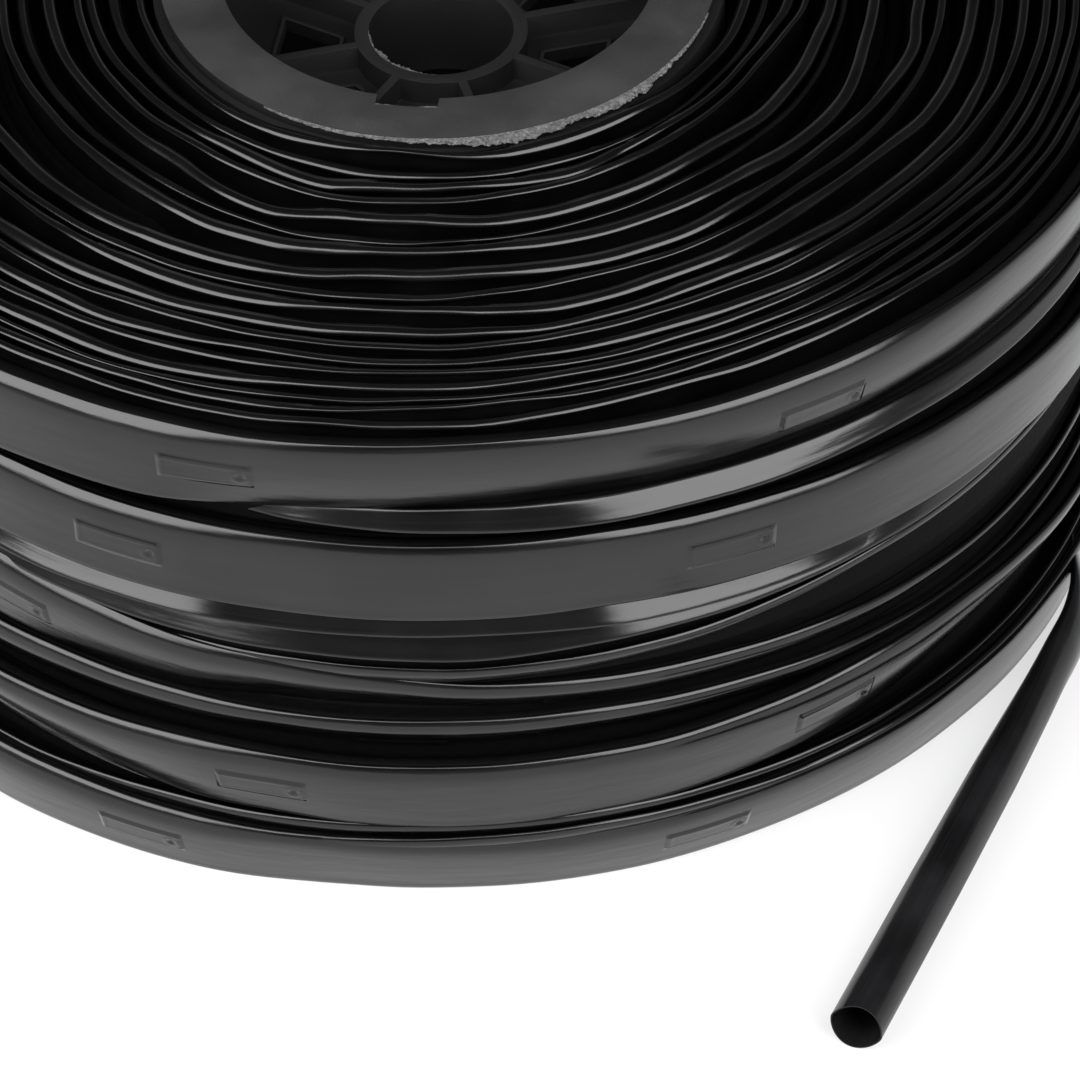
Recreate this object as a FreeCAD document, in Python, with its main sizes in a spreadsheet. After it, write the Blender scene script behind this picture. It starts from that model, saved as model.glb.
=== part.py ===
import FreeCAD, Part

# A roll of flat drip irrigation tape on a moulded core, lying on its side.
# Millimetres. +Z is the roll's axis, the origin is on the axis at the floor, -Y faces the viewer.
# Azimuths are in degrees from +X towards +Y. The tape runs clockwise seen from above.

import math
import os

import Sketcher
from FreeCAD import Placement, Rotation, Vector

UP = Vector(0, 0, 1)
ROWS = 6
FULL_TURN = 360

doc = FreeCAD.newDocument("drip_tape_roll")
sheet = doc.addObject("Spreadsheet::Sheet", "sizes")

# Driving dimensions: alias, value, what it is
SIZES = [
    ("tape_flat", 24.5, "width of the tape lying flat"),
    ("tape_pressed", 1.2, "thickness of the tape wound flat, both walls and slack"),
    ("tape_wall", 0.4, "wall of the tape"),
    ("tape_clearance", 0.4, "between the tape and what it lies beside"),
    ("tape_above_floor", 0.1, "lowest edge of the tape above the resting face"),
    ("tape_below_face", 0.2, "highest edge of the tape below the upper flange face"),
    ("gap_to_two", 7.5, "open gap between the first and second rows"),
    ("gap_to_three", 1, "between the second and third rows"),
    ("gap_to_four", 1, "between the third and fourth rows"),
    ("gap_to_five", 1, "between the fourth and fifth rows"),
    ("gap_to_six", 2.2, "between the fifth and sixth rows"),
    ("row_radius", 187, "middle of the tape's thickness in the outer rows"),
    ("row_recess", 3.6, "rows three and four lie this much further in"),
    ("first_row_inset", 1, "the first row starts this much further in"),
    ("last_turn_gap", 1.8, "between the last turn and the turn that it covers"),
    ("lean_five", 16, "the fifth row's top leans out by this angle"),
    ("lean_six", 20, "lean of the sixth row and the free end"),
    ("face_turns", 18, "turns that show on the upper face"),
    ("face_start_gap", 3.2, "from the core tube to the middle of the innermost turn"),
    ("leave_angle", 26.3, "the free end leaves this far past +X towards the viewer"),
    ("straight_run", 16, "straight flat tape at each end of the winding"),
    ("free_length", 160, "free end, from the winding's straight run to the mouth"),
    ("opening_length", 46, "length over which the flat tape opens to a tube"),
    ("mouth_flat", 0.4, "straight side left in the opened tube"),
    ("emitter_pitch", 150, "emitter spacing along the tape"),
    ("emitter_length", 22, "length of an emitter"),
    ("emitter_width", 6, "width of an emitter"),
    ("emitter_height", 1, "thickness of an emitter"),
    ("emitter_proud", 0.35, "an emitter's middle stands this far above the tape"),
    ("emitter_fit", 0.2, "clearance round an emitter in its pocket"),
    ("emitter_seat", 0.05, "clearance under an emitter in its pocket"),
    ("pool_side", 3, "side of the square outlet pool"),
    ("pool_depth", 0.45, "depth of the outlet pool"),
    ("pool_inset", 1, "from the emitter's end to its outlet pool"),
    ("buried_inset", 4, "the buried turns end this far inside the recessed rows"),
    ("tube_radius", 76, "outside of the core tube"),
    ("tube_wall", 6, "wall of the core tube"),
    ("flange_inset", 2, "a hub's flange ends this far inside the core tube's outside"),
    ("flange_thickness", 3.2, "thickness of a hub's flange"),
    ("cup_radius", 57.8, "inside of a hub's cup"),
    ("cup_wall", 2.5, "wall of a hub's cup"),
    ("web_depth", 29, "from the flange face to the web"),
    ("web_thickness", 3, "thickness of the web"),
    ("rib_height", 7, "height of the ribs on the web"),
    ("rib_thickness", 2.4, "thickness of the ribs"),
    ("rib_count", 8, "ribs and windows round the hub"),
    ("rib_azimuth", 77, "azimuth of the first rib in the hub's own frame"),
    ("bore_radius", 19.5, "spindle bore"),
    ("boss_wall", 3.8, "wall of the boss round the bore"),
    ("boss_length", 28, "length of the boss"),
    ("window_inner", 27.8, "radius where a window starts"),
    ("window_outer", 44, "radius where a window ends"),
    ("window_side", 9.4, "from a rib's middle to the window's side"),
    ("lip_width", 1, "width of the lip round a window"),
    ("lip_height", 0.9, "height of the lip round a window"),
    ("fin_count", 8, "locating fins round a hub's cup"),
    ("fin_thickness", 2, "thickness of the locating fins"),
    ("fin_length", 22, "length of the locating fins below the flange"),
    ("fin_lead", 1.6, "lead-in at the end of the locating fins"),
    ("fin_fit", 0.05, "clearance between the fins and the core tube"),
    ("notch_azimuth", 99, "azimuth of the drive notch in the hub's own frame"),
    ("notch_width", 16, "width of the drive notch"),
    ("notch_depth", 3.5, "depth of the drive notch into the flange"),
    ("notch_length", 10, "length of the drive notch along the axis"),
]
for line, (alias, value, meaning) in enumerate(SIZES, start=1):
    sheet.set(f"A{line}", alias)
    sheet.set(f"B{line}", str(value))
    sheet.set(f"C{line}", meaning)
    sheet.setAlias(f"B{line}", alias)
doc.recompute()

# Formulas of driving dimensions that several pieces share
ROLL_HEIGHT = (
    f"( {ROWS} * tape_flat + gap_to_two + gap_to_three + gap_to_four + gap_to_five"
    " + gap_to_six + tape_above_floor + tape_below_face )"
)
FLANGE_RADIUS = "( tube_radius - flange_inset )"
TUBE_INSIDE = "( tube_radius - tube_wall )"
CUP_OUTSIDE = "( cup_radius + cup_wall )"
BOSS_RADIUS = "( bore_radius + boss_wall )"
BOSS_TOP = "( web_depth - rib_height )"
HALF_STEP = "( 180 / rib_count )"


def size(alias):
    """The value of a driving dimension."""
    return float(sheet.get(alias))


def bound(formula):
    """A formula whose words stand apart, with each driving dimension read from the spreadsheet."""
    names = {alias for alias, value, meaning in SIZES}
    return " ".join(f"sizes.{word}" if word in names else word for word in formula.split())


# Helpers for the moulded and turned pieces
def new_body(name):
    body = doc.addObject("PartDesign::Body", name)
    body.Label = name
    return body


def origin_feature(body, role):
    """One of the body's own origin planes or axes."""
    return next(item for item in body.Origin.OriginFeatures if item.Role == role)


def new_sketch(body, name, plane="XY_Plane", height="0", azimuth="0"):
    """A sketch on an origin plane, raised by a height and turned by an azimuth, both formulas."""
    sketch = body.newObject("Sketcher::SketchObject", name)
    sketch.AttachmentSupport = [(origin_feature(body, plane), "")]
    sketch.MapMode = "FlatFace"
    sketch.AttachmentOffset = Placement(Vector(), Rotation(UP, 1))
    sketch.setExpression("AttachmentOffset.Base.z", bound(height))
    sketch.setExpression("AttachmentOffset.Rotation.Angle", bound(azimuth))
    return sketch


def closed_outline(sketch, corners):
    """Straight sides through corners, each a pair of formulas for its place on the sketch."""
    count = len(corners)
    turns = [math.tau * i / count for i in range(count)]
    rough = [Vector(10 + math.cos(turn), 10 + math.sin(turn), 0) for turn in turns]
    for i in range(count):
        sketch.addGeometry(Part.LineSegment(rough[i], rough[(i + 1) % count]), False)
    for i in range(count):
        sketch.addConstraint(Sketcher.Constraint("Coincident", i, 2, (i + 1) % count, 1))
    for i, (across, along) in enumerate(corners):
        for kind, formula, start in (("DistanceX", across, rough[i].x), ("DistanceY", along, rough[i].y)):
            number = sketch.addConstraint(Sketcher.Constraint(kind, -1, 1, i, 1, start))
            sketch.setExpression(f"Constraints[{number}]", bound(formula))


def pad(body, name, sketch, length, centred=False):
    feature = body.newObject("PartDesign::Pad", name)
    feature.Profile = sketch
    feature.Midplane = centred
    feature.setExpression("Length", bound(length))
    sketch.Visibility = False
    return feature


def pocket_upwards(body, name, sketch, length):
    """Cuts from the sketch towards +Z."""
    feature = body.newObject("PartDesign::Pocket", name)
    feature.Profile = sketch
    feature.Reversed = True
    feature.setExpression("Length", bound(length))
    return feature


def around_axis(body, name, originals, count):
    """Repeats features round the body's Z axis."""
    pattern = body.newObject("PartDesign::PolarPattern", name)
    pattern.Originals = originals
    pattern.Axis = (origin_feature(body, "Z_Axis"), [""])
    pattern.Angle = FULL_TURN
    pattern.setExpression("Occurrences", bound(count))
    body.Tip = pattern
    return pattern


def keystone(grown):
    """A window's outline on the middle line between two ribs, with its sides beside the ribs."""
    inner = f"( window_inner - {grown} )"
    outer = f"( window_outer + {grown} )"

    def half_width(radius):
        return f"( ( {radius} * sin( {HALF_STEP} ) - window_side + {grown} ) / cos( {HALF_STEP} ) )"

    return [
        (inner, f"0 - {half_width(inner)}"),
        (outer, f"0 - {half_width(outer)}"),
        (outer, half_width(outer)),
        (inner, half_width(inner)),
    ]


def hub(name):
    """One moulded hub with its flange face at z = 0 and its cup rising from it."""
    body = new_body(name)
    web_back = "( web_depth + web_thickness )"
    boss_end = f"( {BOSS_TOP} + boss_length )"
    section = new_sketch(body, name + "_section", "XZ_Plane")
    closed_outline(section, [
        ("bore_radius", BOSS_TOP),
        (BOSS_RADIUS, BOSS_TOP),
        (BOSS_RADIUS, "web_depth"),
        ("cup_radius", "web_depth"),
        ("cup_radius", "0"),
        (FLANGE_RADIUS, "0"),
        (FLANGE_RADIUS, "flange_thickness"),
        (CUP_OUTSIDE, "flange_thickness"),
        (CUP_OUTSIDE, web_back),
        (BOSS_RADIUS, web_back),
        (BOSS_RADIUS, boss_end),
        ("bore_radius", boss_end),
    ])
    turned = body.newObject("PartDesign::Revolution", name + "_turned")
    turned.Profile = section
    turned.ReferenceAxis = (section, ["V_Axis"])
    turned.Angle = FULL_TURN

    rib_middle = "( web_thickness / 2 )"
    rib_outline = new_sketch(body, name + "_rib_outline", height=BOSS_TOP, azimuth="rib_azimuth")
    closed_outline(rib_outline, [
        ("bore_radius + boss_wall / 2", "0 - rib_thickness / 2"),
        ("cup_radius + cup_wall / 2", "0 - rib_thickness / 2"),
        ("cup_radius + cup_wall / 2", "rib_thickness / 2"),
        ("bore_radius + boss_wall / 2", "rib_thickness / 2"),
    ])
    rib = pad(body, name + "_rib", rib_outline, f"rib_height + {rib_middle}")
    around_axis(body, name + "_ribs", [rib], "rib_count")

    lip_outline = new_sketch(
        body, name + "_lip_outline", height="web_depth - lip_height", azimuth=f"rib_azimuth + {HALF_STEP}"
    )
    closed_outline(lip_outline, keystone("lip_width"))
    lip = pad(body, name + "_lip", lip_outline, f"lip_height + {rib_middle}")
    around_axis(body, name + "_lips", [lip], "rib_count")

    window_outline = new_sketch(
        body, name + "_window_outline", height="web_depth - 2 * lip_height", azimuth=f"rib_azimuth + {HALF_STEP}"
    )
    closed_outline(window_outline, keystone("0"))
    window = pocket_upwards(body, name + "_window", window_outline, "4 * lip_height + web_thickness")
    around_axis(body, name + "_windows", [window], "rib_count")

    fin_outline = new_sketch(body, name + "_fin_outline", "XZ_Plane")
    fin_reach = f"( {TUBE_INSIDE} - fin_fit )"
    fin_foot = f"( {CUP_OUTSIDE} - cup_wall / 2 )"
    fin_end = "( flange_thickness + fin_length )"
    closed_outline(fin_outline, [
        (fin_foot, "flange_thickness / 2"),
        (fin_reach, "flange_thickness / 2"),
        (fin_reach, f"{fin_end} - fin_lead"),
        (f"{fin_reach} - fin_lead", fin_end),
        (fin_foot, fin_end),
    ])
    fin = pad(body, name + "_fin", fin_outline, "fin_thickness", centred=True)
    around_axis(body, name + "_fins", [fin], "fin_count")

    notch_outline = new_sketch(
        body, name + "_notch_outline", height="0 - flange_thickness", azimuth="notch_azimuth"
    )
    closed_outline(notch_outline, [
        ("cup_radius - notch_depth", "0 - notch_width / 2"),
        ("cup_radius + notch_depth", "0 - notch_width / 2"),
        ("cup_radius + notch_depth", "notch_width / 2"),
        ("cup_radius - notch_depth", "notch_width / 2"),
    ])
    body.Tip = pocket_upwards(
        body, name + "_notch", notch_outline, "flange_thickness + notch_length"
    )
    return body


def ring(name, outside, inside, foot, height):
    """A plain ring from two cylinders, its sizes given as formulas."""
    result = doc.addObject("Part::Cut", name)
    for slot, radius in (("Base", outside), ("Tool", inside)):
        cylinder = doc.addObject("Part::Cylinder", f"{name}_{slot.lower()}")
        cylinder.setExpression("Radius", bound(radius))
        cylinder.setExpression("Height", bound(height))
        setattr(result, slot, cylinder)
    result.Label = name
    result.setExpression("Placement.Base.z", bound(foot))
    return result


# The core and the turns buried in the roll
lower_hub = hub("lower_hub")
upper_hub = hub("upper_hub")
upper_hub.Placement = Placement(Vector(), Rotation(Vector(1, 0, 0), 180))
upper_hub.setExpression("Placement.Base.z", bound(ROLL_HEIGHT))
core_tube = ring(
    "core_tube", "tube_radius", TUBE_INSIDE, "flange_thickness", f"{ROLL_HEIGHT} - 2 * flange_thickness"
)
buried_winding = ring(
    "buried_winding",
    "row_radius - row_recess - tape_pressed / 2 - buried_inset",
    "tube_radius + tape_clearance",
    "0",
    f"{ROLL_HEIGHT} - tape_below_face - tape_flat - tape_clearance",
)


# The emitter, a flat moulding with its labyrinth face down and an outlet pool near one end
def emitter_form():
    body = new_body("emitter_form")
    outline = new_sketch(body, "emitter_outline")
    closed_outline(outline, [
        ("0 - emitter_length / 2", "0 - emitter_width / 2"),
        ("emitter_length / 2", "0 - emitter_width / 2"),
        ("emitter_length / 2", "emitter_width / 2"),
        ("0 - emitter_length / 2", "emitter_width / 2"),
    ])
    pad(body, "emitter_block", outline, "emitter_height")
    pool = new_sketch(body, "pool_outline", height="emitter_height - pool_depth")
    pool_end = "emitter_length / 2 - pool_inset"
    closed_outline(pool, [
        (f"{pool_end} - pool_side", "0 - pool_side / 2"),
        (pool_end, "0 - pool_side / 2"),
        (pool_end, "pool_side / 2"),
        (f"{pool_end} - pool_side", "pool_side / 2"),
    ])
    body.Tip = pocket_upwards(body, "pool", pool, "emitter_height")
    return body


emitter = emitter_form()
doc.recompute()

# The tape's path: half turns on the upper face, then six rows down the outside
tape_flat = size("tape_flat")
tape_pressed = size("tape_pressed")
row_radius = size("row_radius")
inner_row_radius = row_radius - size("row_recess")
last_turn_radius = row_radius + tape_pressed + size("last_turn_gap")
first_row_radius = row_radius - size("first_row_inset")
face_start_radius = size("tube_radius") + size("face_start_gap")
row_gaps = [size(alias) for alias, value, meaning in SIZES if alias.startswith("gap_to_")]
row_leans = [0, 0, 0, 0, size("lean_five"), size("lean_six")]
lowest_middle = size("tape_above_floor") + tape_flat / 2
row_middles = [lowest_middle + sum(row_gaps[row:]) + (ROWS - 1 - row) * tape_flat for row in range(ROWS)]
# Each row's radius where it starts, at +X, and half a turn on, at -X
row_ends = [
    (first_row_radius, row_radius),
    (row_radius, row_radius),
    (inner_row_radius, inner_row_radius),
    (inner_row_radius, inner_row_radius),
    (row_radius, row_radius),
    (row_radius, last_turn_radius),
]


def half_turn(start_radius, end_radius, height):
    """A level half turn past the viewer, from +X to -X."""
    middle = Vector((start_radius - end_radius) / 2, -(start_radius + end_radius) / 2, height)
    return Part.Arc(Vector(start_radius, 0, height), middle, Vector(-end_radius, 0, height)).toShape()


def half_turn_behind(start_radius, end_radius, height):
    """A level half turn behind the axis, from -X to +X."""
    middle = Vector((end_radius - start_radius) / 2, (start_radius + end_radius) / 2, height)
    return Part.Arc(Vector(-start_radius, 0, height), middle, Vector(end_radius, 0, height)).toShape()


def tangent_arc(start, corner, end):
    """The arc that touches both straight lines of a corner at points as far from it."""
    turn = (corner - start).getAngle(end - corner)
    half = math.cos(turn / 2)
    chord_middle = (start + end) / 2
    return Part.Arc(start, chord_middle + (corner - chord_middle) * (half / (1 + half)), end).toShape()


def biarc(start, start_way, end, end_way):
    """Two arcs that join two points and leave and reach them along unit directions."""
    across = end - start
    ways = start_way + end_way
    spread = 2 * (1 - start_way.dot(end_way))
    reach = (math.sqrt(across.dot(ways) ** 2 + spread * across.dot(across)) - across.dot(ways)) / spread
    first_corner = start + start_way * reach
    second_corner = end - end_way * reach
    join = (first_corner + second_corner) / 2
    return [tangent_arc(start, first_corner, join), tangent_arc(join, second_corner, end)]


def quarters_behind(start_radius, end_radius, start_height, end_height):
    """Two quarter turns behind the roll, each a biarc, that come down to the next row."""
    middle_radius = (start_radius + end_radius) / 2
    start = Vector(-start_radius, 0, start_height)
    middle = Vector((end_radius - start_radius) / 2, middle_radius, (start_height + end_height) / 2)
    end = Vector(end_radius, 0, end_height)
    way = Vector(1, 0, (end_height - start_height) / (2 * middle_radius)).normalize()
    return biarc(start, Vector(0, 1, 0), middle, way), biarc(middle, way, end, Vector(0, -1, 0))


leave_angle = math.radians(size("leave_angle"))
leave_way = Vector(-math.sin(leave_angle), -math.cos(leave_angle), 0)


def tape_stretches():
    """The path in stretches: each one's edges, and the tape's lean where it starts and ends."""
    turns = int(size("face_turns"))
    growth = (first_row_radius - face_start_radius) / turns
    start = Vector(face_start_radius, 0, row_middles[0])
    run = Part.LineSegment(start + Vector(0, size("straight_run"), 0), start).toShape()
    stretches = [([run], 0, 0)]
    for turn in range(turns):
        radius = face_start_radius + turn * growth
        stretches.append(([half_turn(radius, radius + growth / 2, row_middles[0])], 0, 0))
        stretches.append(([half_turn_behind(radius + growth / 2, radius + growth, row_middles[0])], 0, 0))
    for row, (start_radius, end_radius) in enumerate(row_ends):
        lean = row_leans[row]
        stretches.append(([half_turn(start_radius, end_radius, row_middles[row])], lean, lean))
        next_row = min(row + 1, ROWS - 1)
        next_lean = row_leans[next_row]
        next_radius = row_ends[next_row][0] if row + 1 < ROWS else end_radius
        first, second = quarters_behind(end_radius, next_radius, row_middles[row], row_middles[next_row])
        stretches.append((first, lean, (lean + next_lean) / 2))
        stretches.append((second, (lean + next_lean) / 2, next_lean))

    def last_point(angle):
        return Vector(math.cos(angle), -math.sin(angle), 0) * last_turn_radius + UP * row_middles[-1]

    leaving = Part.Arc(last_point(0), last_point(leave_angle / 2), last_point(leave_angle)).toShape()
    free_start = last_point(leave_angle) + leave_way * size("straight_run")
    last_line = Part.LineSegment(last_point(leave_angle), free_start).toShape()
    stretches.append(([leaving], row_leans[-1], row_leans[-1]))
    stretches.append(([last_line], row_leans[-1], row_leans[-1]))
    return stretches, free_start


stretches, free_start = tape_stretches()
path_length = sum(edge.Length for edges, start_lean, end_lean in stretches for edge in edges)
row_starts = []
passed = 0
for edges, start_lean, end_lean in stretches:
    if edges[0].Length > math.pi * first_row_radius and edges[0].Vertexes[0].Y <= 0:
        row_starts.append(passed)
    passed += sum(edge.Length for edge in edges)


def frame_of(point, way, lean):
    """A place on the path: its point, the tape's outward side and its width's direction."""
    outward = UP.cross(way).normalize()
    across = way.cross(outward)
    tilt = math.radians(lean)
    return point, outward * math.cos(tilt) - across * math.sin(tilt), across * math.cos(tilt) + outward * math.sin(tilt)


def at_length(length):
    """The frame and the direction of the path at a length along it."""
    for edges, start_lean, end_lean in stretches:
        whole = sum(edge.Length for edge in edges)
        if length > whole:
            length -= whole
            continue
        lean = start_lean + (end_lean - start_lean) * length / whole
        for edge in edges:
            if length <= edge.Length or edge is edges[-1]:
                place = edge.getParameterByLength(min(length, edge.Length))
                way = edge.tangentAt(place)
                return frame_of(edge.valueAt(place), way, lean), way
            length -= edge.Length
    raise ValueError("past the end of the tape")


def tape_outline(frame):
    """The flat tape's section in a frame of the path."""
    point, outward, across = frame
    corners = []
    for side, rise in ((-1, -1), (1, -1), (1, 1), (-1, 1), (-1, -1)):
        corners.append(point + outward * (side * tape_pressed / 2) + across * (rise * tape_flat / 2))
    return Part.makePolygon(corners)


def tape_strip():
    """The tape's flat section swept along each stretch, joined into one unbroken strip."""
    lengths = []
    for edges, start_lean, end_lean in stretches:
        first, last = edges[0], edges[-1]
        ends = [(first, first.FirstParameter, start_lean), (last, last.LastParameter, end_lean)]
        outlines = [tape_outline(frame_of(e.valueAt(at), e.tangentAt(at), lean)) for e, at, lean in ends]
        level = len(edges) == 1 and start_lean == end_lean
        lengths.append(Part.Wire(edges).makePipeShell(outlines[:1] if level else outlines, True, False))
    return lengths[0].fuse(lengths[1:])


def least_gap():
    """The tape's least gap to itself, on points of the turns at each degree of azimuth."""
    step = 1.5
    turns_at = {}
    before = None
    for number in range(int(path_length / step)):
        (point, outward, across), way = at_length(number * step)
        spoke = Vector(point.x, point.y, 0).normalize()
        lean = math.atan2(across.dot(spoke), across.z)
        azimuth = math.degrees(math.atan2(point.y, point.x))
        here = (azimuth, number * step, math.hypot(point.x, point.y), point.z, lean)
        if before and abs(before[0] - azimuth) < 90 and math.floor(before[0]) != math.floor(azimuth):
            degree = math.floor(before[0])
            share = (before[0] - degree) / (before[0] - azimuth)
            turns_at.setdefault(degree, []).append([a + share * (b - a) for a, b in zip(before, here)][1:])
        before = here
    least = math.inf
    samples = [(side / 2, rise / 4) for side in (-1, 1) for rise in (-2, -1, 0, 1, 2)]
    for turns in turns_at.values():
        for one in turns:
            for other in turns:
                if abs(other[0] - one[0]) > face_start_radius:
                    least = min(least, min(off_section(one, other, *sample) for sample in samples))
    return least


def off_section(one, other, side, rise):
    """How far a point of one turn's section is from another turn's section, in their common plane."""
    length, radius, height, lean = one
    radius += side * tape_pressed * math.cos(lean) + rise * tape_flat * math.sin(lean)
    height += rise * tape_flat * math.cos(lean) - side * tape_pressed * math.sin(lean)
    length, other_radius, other_height, other_lean = other
    outward, upward = radius - other_radius, height - other_height
    thick = outward * math.cos(other_lean) - upward * math.sin(other_lean)
    wide = outward * math.sin(other_lean) + upward * math.cos(other_lean)
    return math.hypot(max(0, abs(thick) - tape_pressed / 2), max(0, abs(wide) - tape_flat / 2))


# Where the emitters lie: the azimuth of each row's first outlet as the photograph shows it
FIRST_OUTLETS = [59.4, 68.4, 77, 65, 80.5, 73.3]


def emitter_lengths():
    """Lengths along the tape of the emitters' outlets, every pitch from each row's first."""
    firsts = []
    for outlet, row_start, ends in zip(FIRST_OUTLETS, row_starts, row_ends):
        firsts.append(row_start + math.radians(outlet) * sum(ends) / 2)
    pitch = size("emitter_pitch")
    lengths = []
    for first, following in zip(firsts, firsts[1:] + [path_length]):
        for number in range(math.floor((following - first) / pitch + 1 / 3)):
            lengths.append(first + number * pitch)
    return lengths


def on_the_tape(outlet_length, height):
    """Where an emitter lies, its outlet at a length along the tape and its base above the path."""
    to_middle = size("emitter_length") / 2 - size("pool_inset") - size("pool_side") / 2
    (point, outward, across), way = at_length(outlet_length + to_middle)
    return Placement(point + outward * height, Rotation(way * -1, across, outward, "ZXY"))


emitter_base = tape_pressed / 2 + size("emitter_proud") - size("emitter_height")
pocket_length = size("emitter_length") + 2 * size("emitter_fit")
pocket_width = size("emitter_width") + 2 * size("emitter_fit")
pockets = []
emitters = []
for number, length in enumerate(emitter_lengths(), start=1):
    place = on_the_tape(length, emitter_base)
    copy = doc.addObject("Part::Feature", f"emitter_{number:02d}")
    copy.Label = copy.Name
    copy.Shape = emitter.Shape.copy()
    copy.Placement = place
    emitters.append(copy)
    pocket = Part.makeBox(
        pocket_length, pocket_width, tape_flat, Vector(-pocket_length / 2, -pocket_width / 2, -size("emitter_seat"))
    )
    pocket.Placement = place
    pockets.append(pocket)

wound_tape = doc.addObject("Part::Feature", "wound_tape")
wound_tape.Shape = tape_strip().cut(pockets)


# The free end: flat where it leaves the winding, then open to a thin tube with an open mouth
tape_wall = size("tape_wall")
outline_length = 2 * (tape_flat - tape_pressed) + math.pi * tape_pressed
mouth_thickness = (outline_length - 2 * size("mouth_flat")) / math.pi
OPENING_STEPS = 3
CREASES = 12


def tape_section(along, thickness, inset):
    """The creased tape's outline, so open that it is this thick, in the free end's own frame."""
    straight = (outline_length - math.pi * thickness) / 2
    fold = math.pi * thickness / 4
    middle = size("tape_above_floor") + (thickness + straight) / 2
    radius = thickness / 2 - inset
    lean = Rotation(Vector(1, 0, 0), -row_leans[-1])
    half = []
    for number in range(CREASES // 2 + 1):
        passed = outline_length * number / CREASES
        above = min(passed, fold) / (thickness / 2)
        below = max(0, passed - fold - straight) / (thickness / 2)
        down = min(max(0, passed - fold), straight)
        across = radius * (math.sin(above) + math.cos(below) - 1)
        upward = straight / 2 + radius * math.cos(above) - down - radius * math.sin(below)
        half.append(Vector(0, across, upward))
    other_half = [Vector(0, -point.y, point.z) for point in reversed(half[1:-1])]
    corners = [Vector(along, 0, middle) + lean.multVec(point) for point in half + other_half]
    return Part.makePolygon(corners + corners[:1])


def opened(inset):
    """The tape's opening stretch and tube as one solid, drawn in by an inset."""
    sections = []
    for step in range(OPENING_STEPS + 1):
        share = step / OPENING_STEPS
        swell = share * share * (3 - 2 * share)
        thickness = tape_pressed + (mouth_thickness - tape_pressed) * swell
        sections.append(tape_section(share * size("opening_length"), thickness, inset))
    sections.append(tape_section(size("free_length"), mouth_thickness, inset))
    return Part.makeLoft(sections, True, True)


free_end = doc.addObject("Part::Feature", "free_end")
free_end.Shape = opened(0).cut(opened(tape_wall))
heading = Rotation(Vector(1, 0, 0), leave_way)
free_end.Placement = Placement(Vector(free_start.x, free_start.y, 0), heading)
doc.recompute()

print("least gap of the tape to itself:", round(least_gap(), 3), "mm")
strip_volume = tape_pressed * tape_flat * path_length
print("wound tape against section times length:", round(wound_tape.Shape.Volume / strip_volume, 4))
tube_volume = (outline_length - math.pi * tape_wall) * tape_wall * size("free_length")
print("free end against section times length:", round(free_end.Shape.Volume / tube_volume, 4))
print("tape on show:", round(path_length / 1000, 2), "m, emitters:", len(emitters))

# Every object is sound, and each sub-part is written to its own file
pieces = [core_tube, lower_hub, upper_hub, buried_winding, wound_tape, free_end] + emitters
for item in doc.Objects:
    if "Invalid" in item.State or "Error" in item.State:
        raise RuntimeError(f"{item.Label} did not recompute: {item.State}")
for piece in pieces:
    if piece.Shape.isNull() or not piece.Shape.isValid() or len(piece.Shape.Solids) != 1:
        raise RuntimeError(f"{piece.Label} is not one sound solid")
os.makedirs("parts", exist_ok=True)
for piece in pieces:
    piece.Shape.exportStep(f"parts/{piece.Label}.step")
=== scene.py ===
"""Roll of flat drip tape on a moulded core, lying on its side on a pale floor."""
import math

import bmesh
import bpy
import numpy as np
from bpy.props import FloatProperty, FloatVectorProperty, IntProperty, PointerProperty
from mathutils import Matrix, Vector, noise


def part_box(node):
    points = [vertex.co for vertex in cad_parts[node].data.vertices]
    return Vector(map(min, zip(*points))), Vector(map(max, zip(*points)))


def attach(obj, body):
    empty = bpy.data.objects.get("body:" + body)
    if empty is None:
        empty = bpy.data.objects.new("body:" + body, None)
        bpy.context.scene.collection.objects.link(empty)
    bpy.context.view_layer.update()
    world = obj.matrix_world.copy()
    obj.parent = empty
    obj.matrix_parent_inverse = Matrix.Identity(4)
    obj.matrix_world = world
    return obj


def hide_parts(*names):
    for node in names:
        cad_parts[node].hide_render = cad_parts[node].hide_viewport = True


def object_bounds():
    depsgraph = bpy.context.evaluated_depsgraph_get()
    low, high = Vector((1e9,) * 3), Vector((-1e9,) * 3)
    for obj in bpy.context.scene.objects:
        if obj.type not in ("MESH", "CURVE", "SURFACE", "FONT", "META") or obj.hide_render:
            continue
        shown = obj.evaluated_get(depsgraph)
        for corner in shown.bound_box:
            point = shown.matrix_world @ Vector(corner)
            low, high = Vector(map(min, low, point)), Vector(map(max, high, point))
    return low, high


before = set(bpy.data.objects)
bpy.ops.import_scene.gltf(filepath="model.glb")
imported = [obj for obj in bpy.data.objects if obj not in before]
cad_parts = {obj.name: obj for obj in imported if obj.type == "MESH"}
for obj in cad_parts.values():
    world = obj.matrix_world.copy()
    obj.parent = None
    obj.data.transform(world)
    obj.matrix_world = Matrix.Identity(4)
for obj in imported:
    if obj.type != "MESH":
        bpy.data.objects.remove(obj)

bl_info = {
    "name": "Drip tape roll",
    "version": (1, 0, 0),
    "blender": (4, 5, 0),
    "location": "3D View > Sidebar > Tape roll",
    "description": "Builds the wound tape, the hubs, the free end and the stage of a drip tape roll",
    "category": "Object",
}

CAD_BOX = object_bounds()
MM = 0.001
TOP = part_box("upper_hub")[1][2] / MM
EMITTERS = sorted(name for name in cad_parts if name.startswith("emitter_"))

# The photograph's view: rise over the floor, distance from the middle of the upper face, then how
# far the camera pans, tilts and rolls from there, and its lens on its sensor
VIEW_RISE = 36.15
VIEW_DISTANCE = 1.127
VIEW_TURNS = (-1.11, -7.80, 1.87)
SENSOR = 36
LENS = SENSOR * 4219 / 1080

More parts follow.
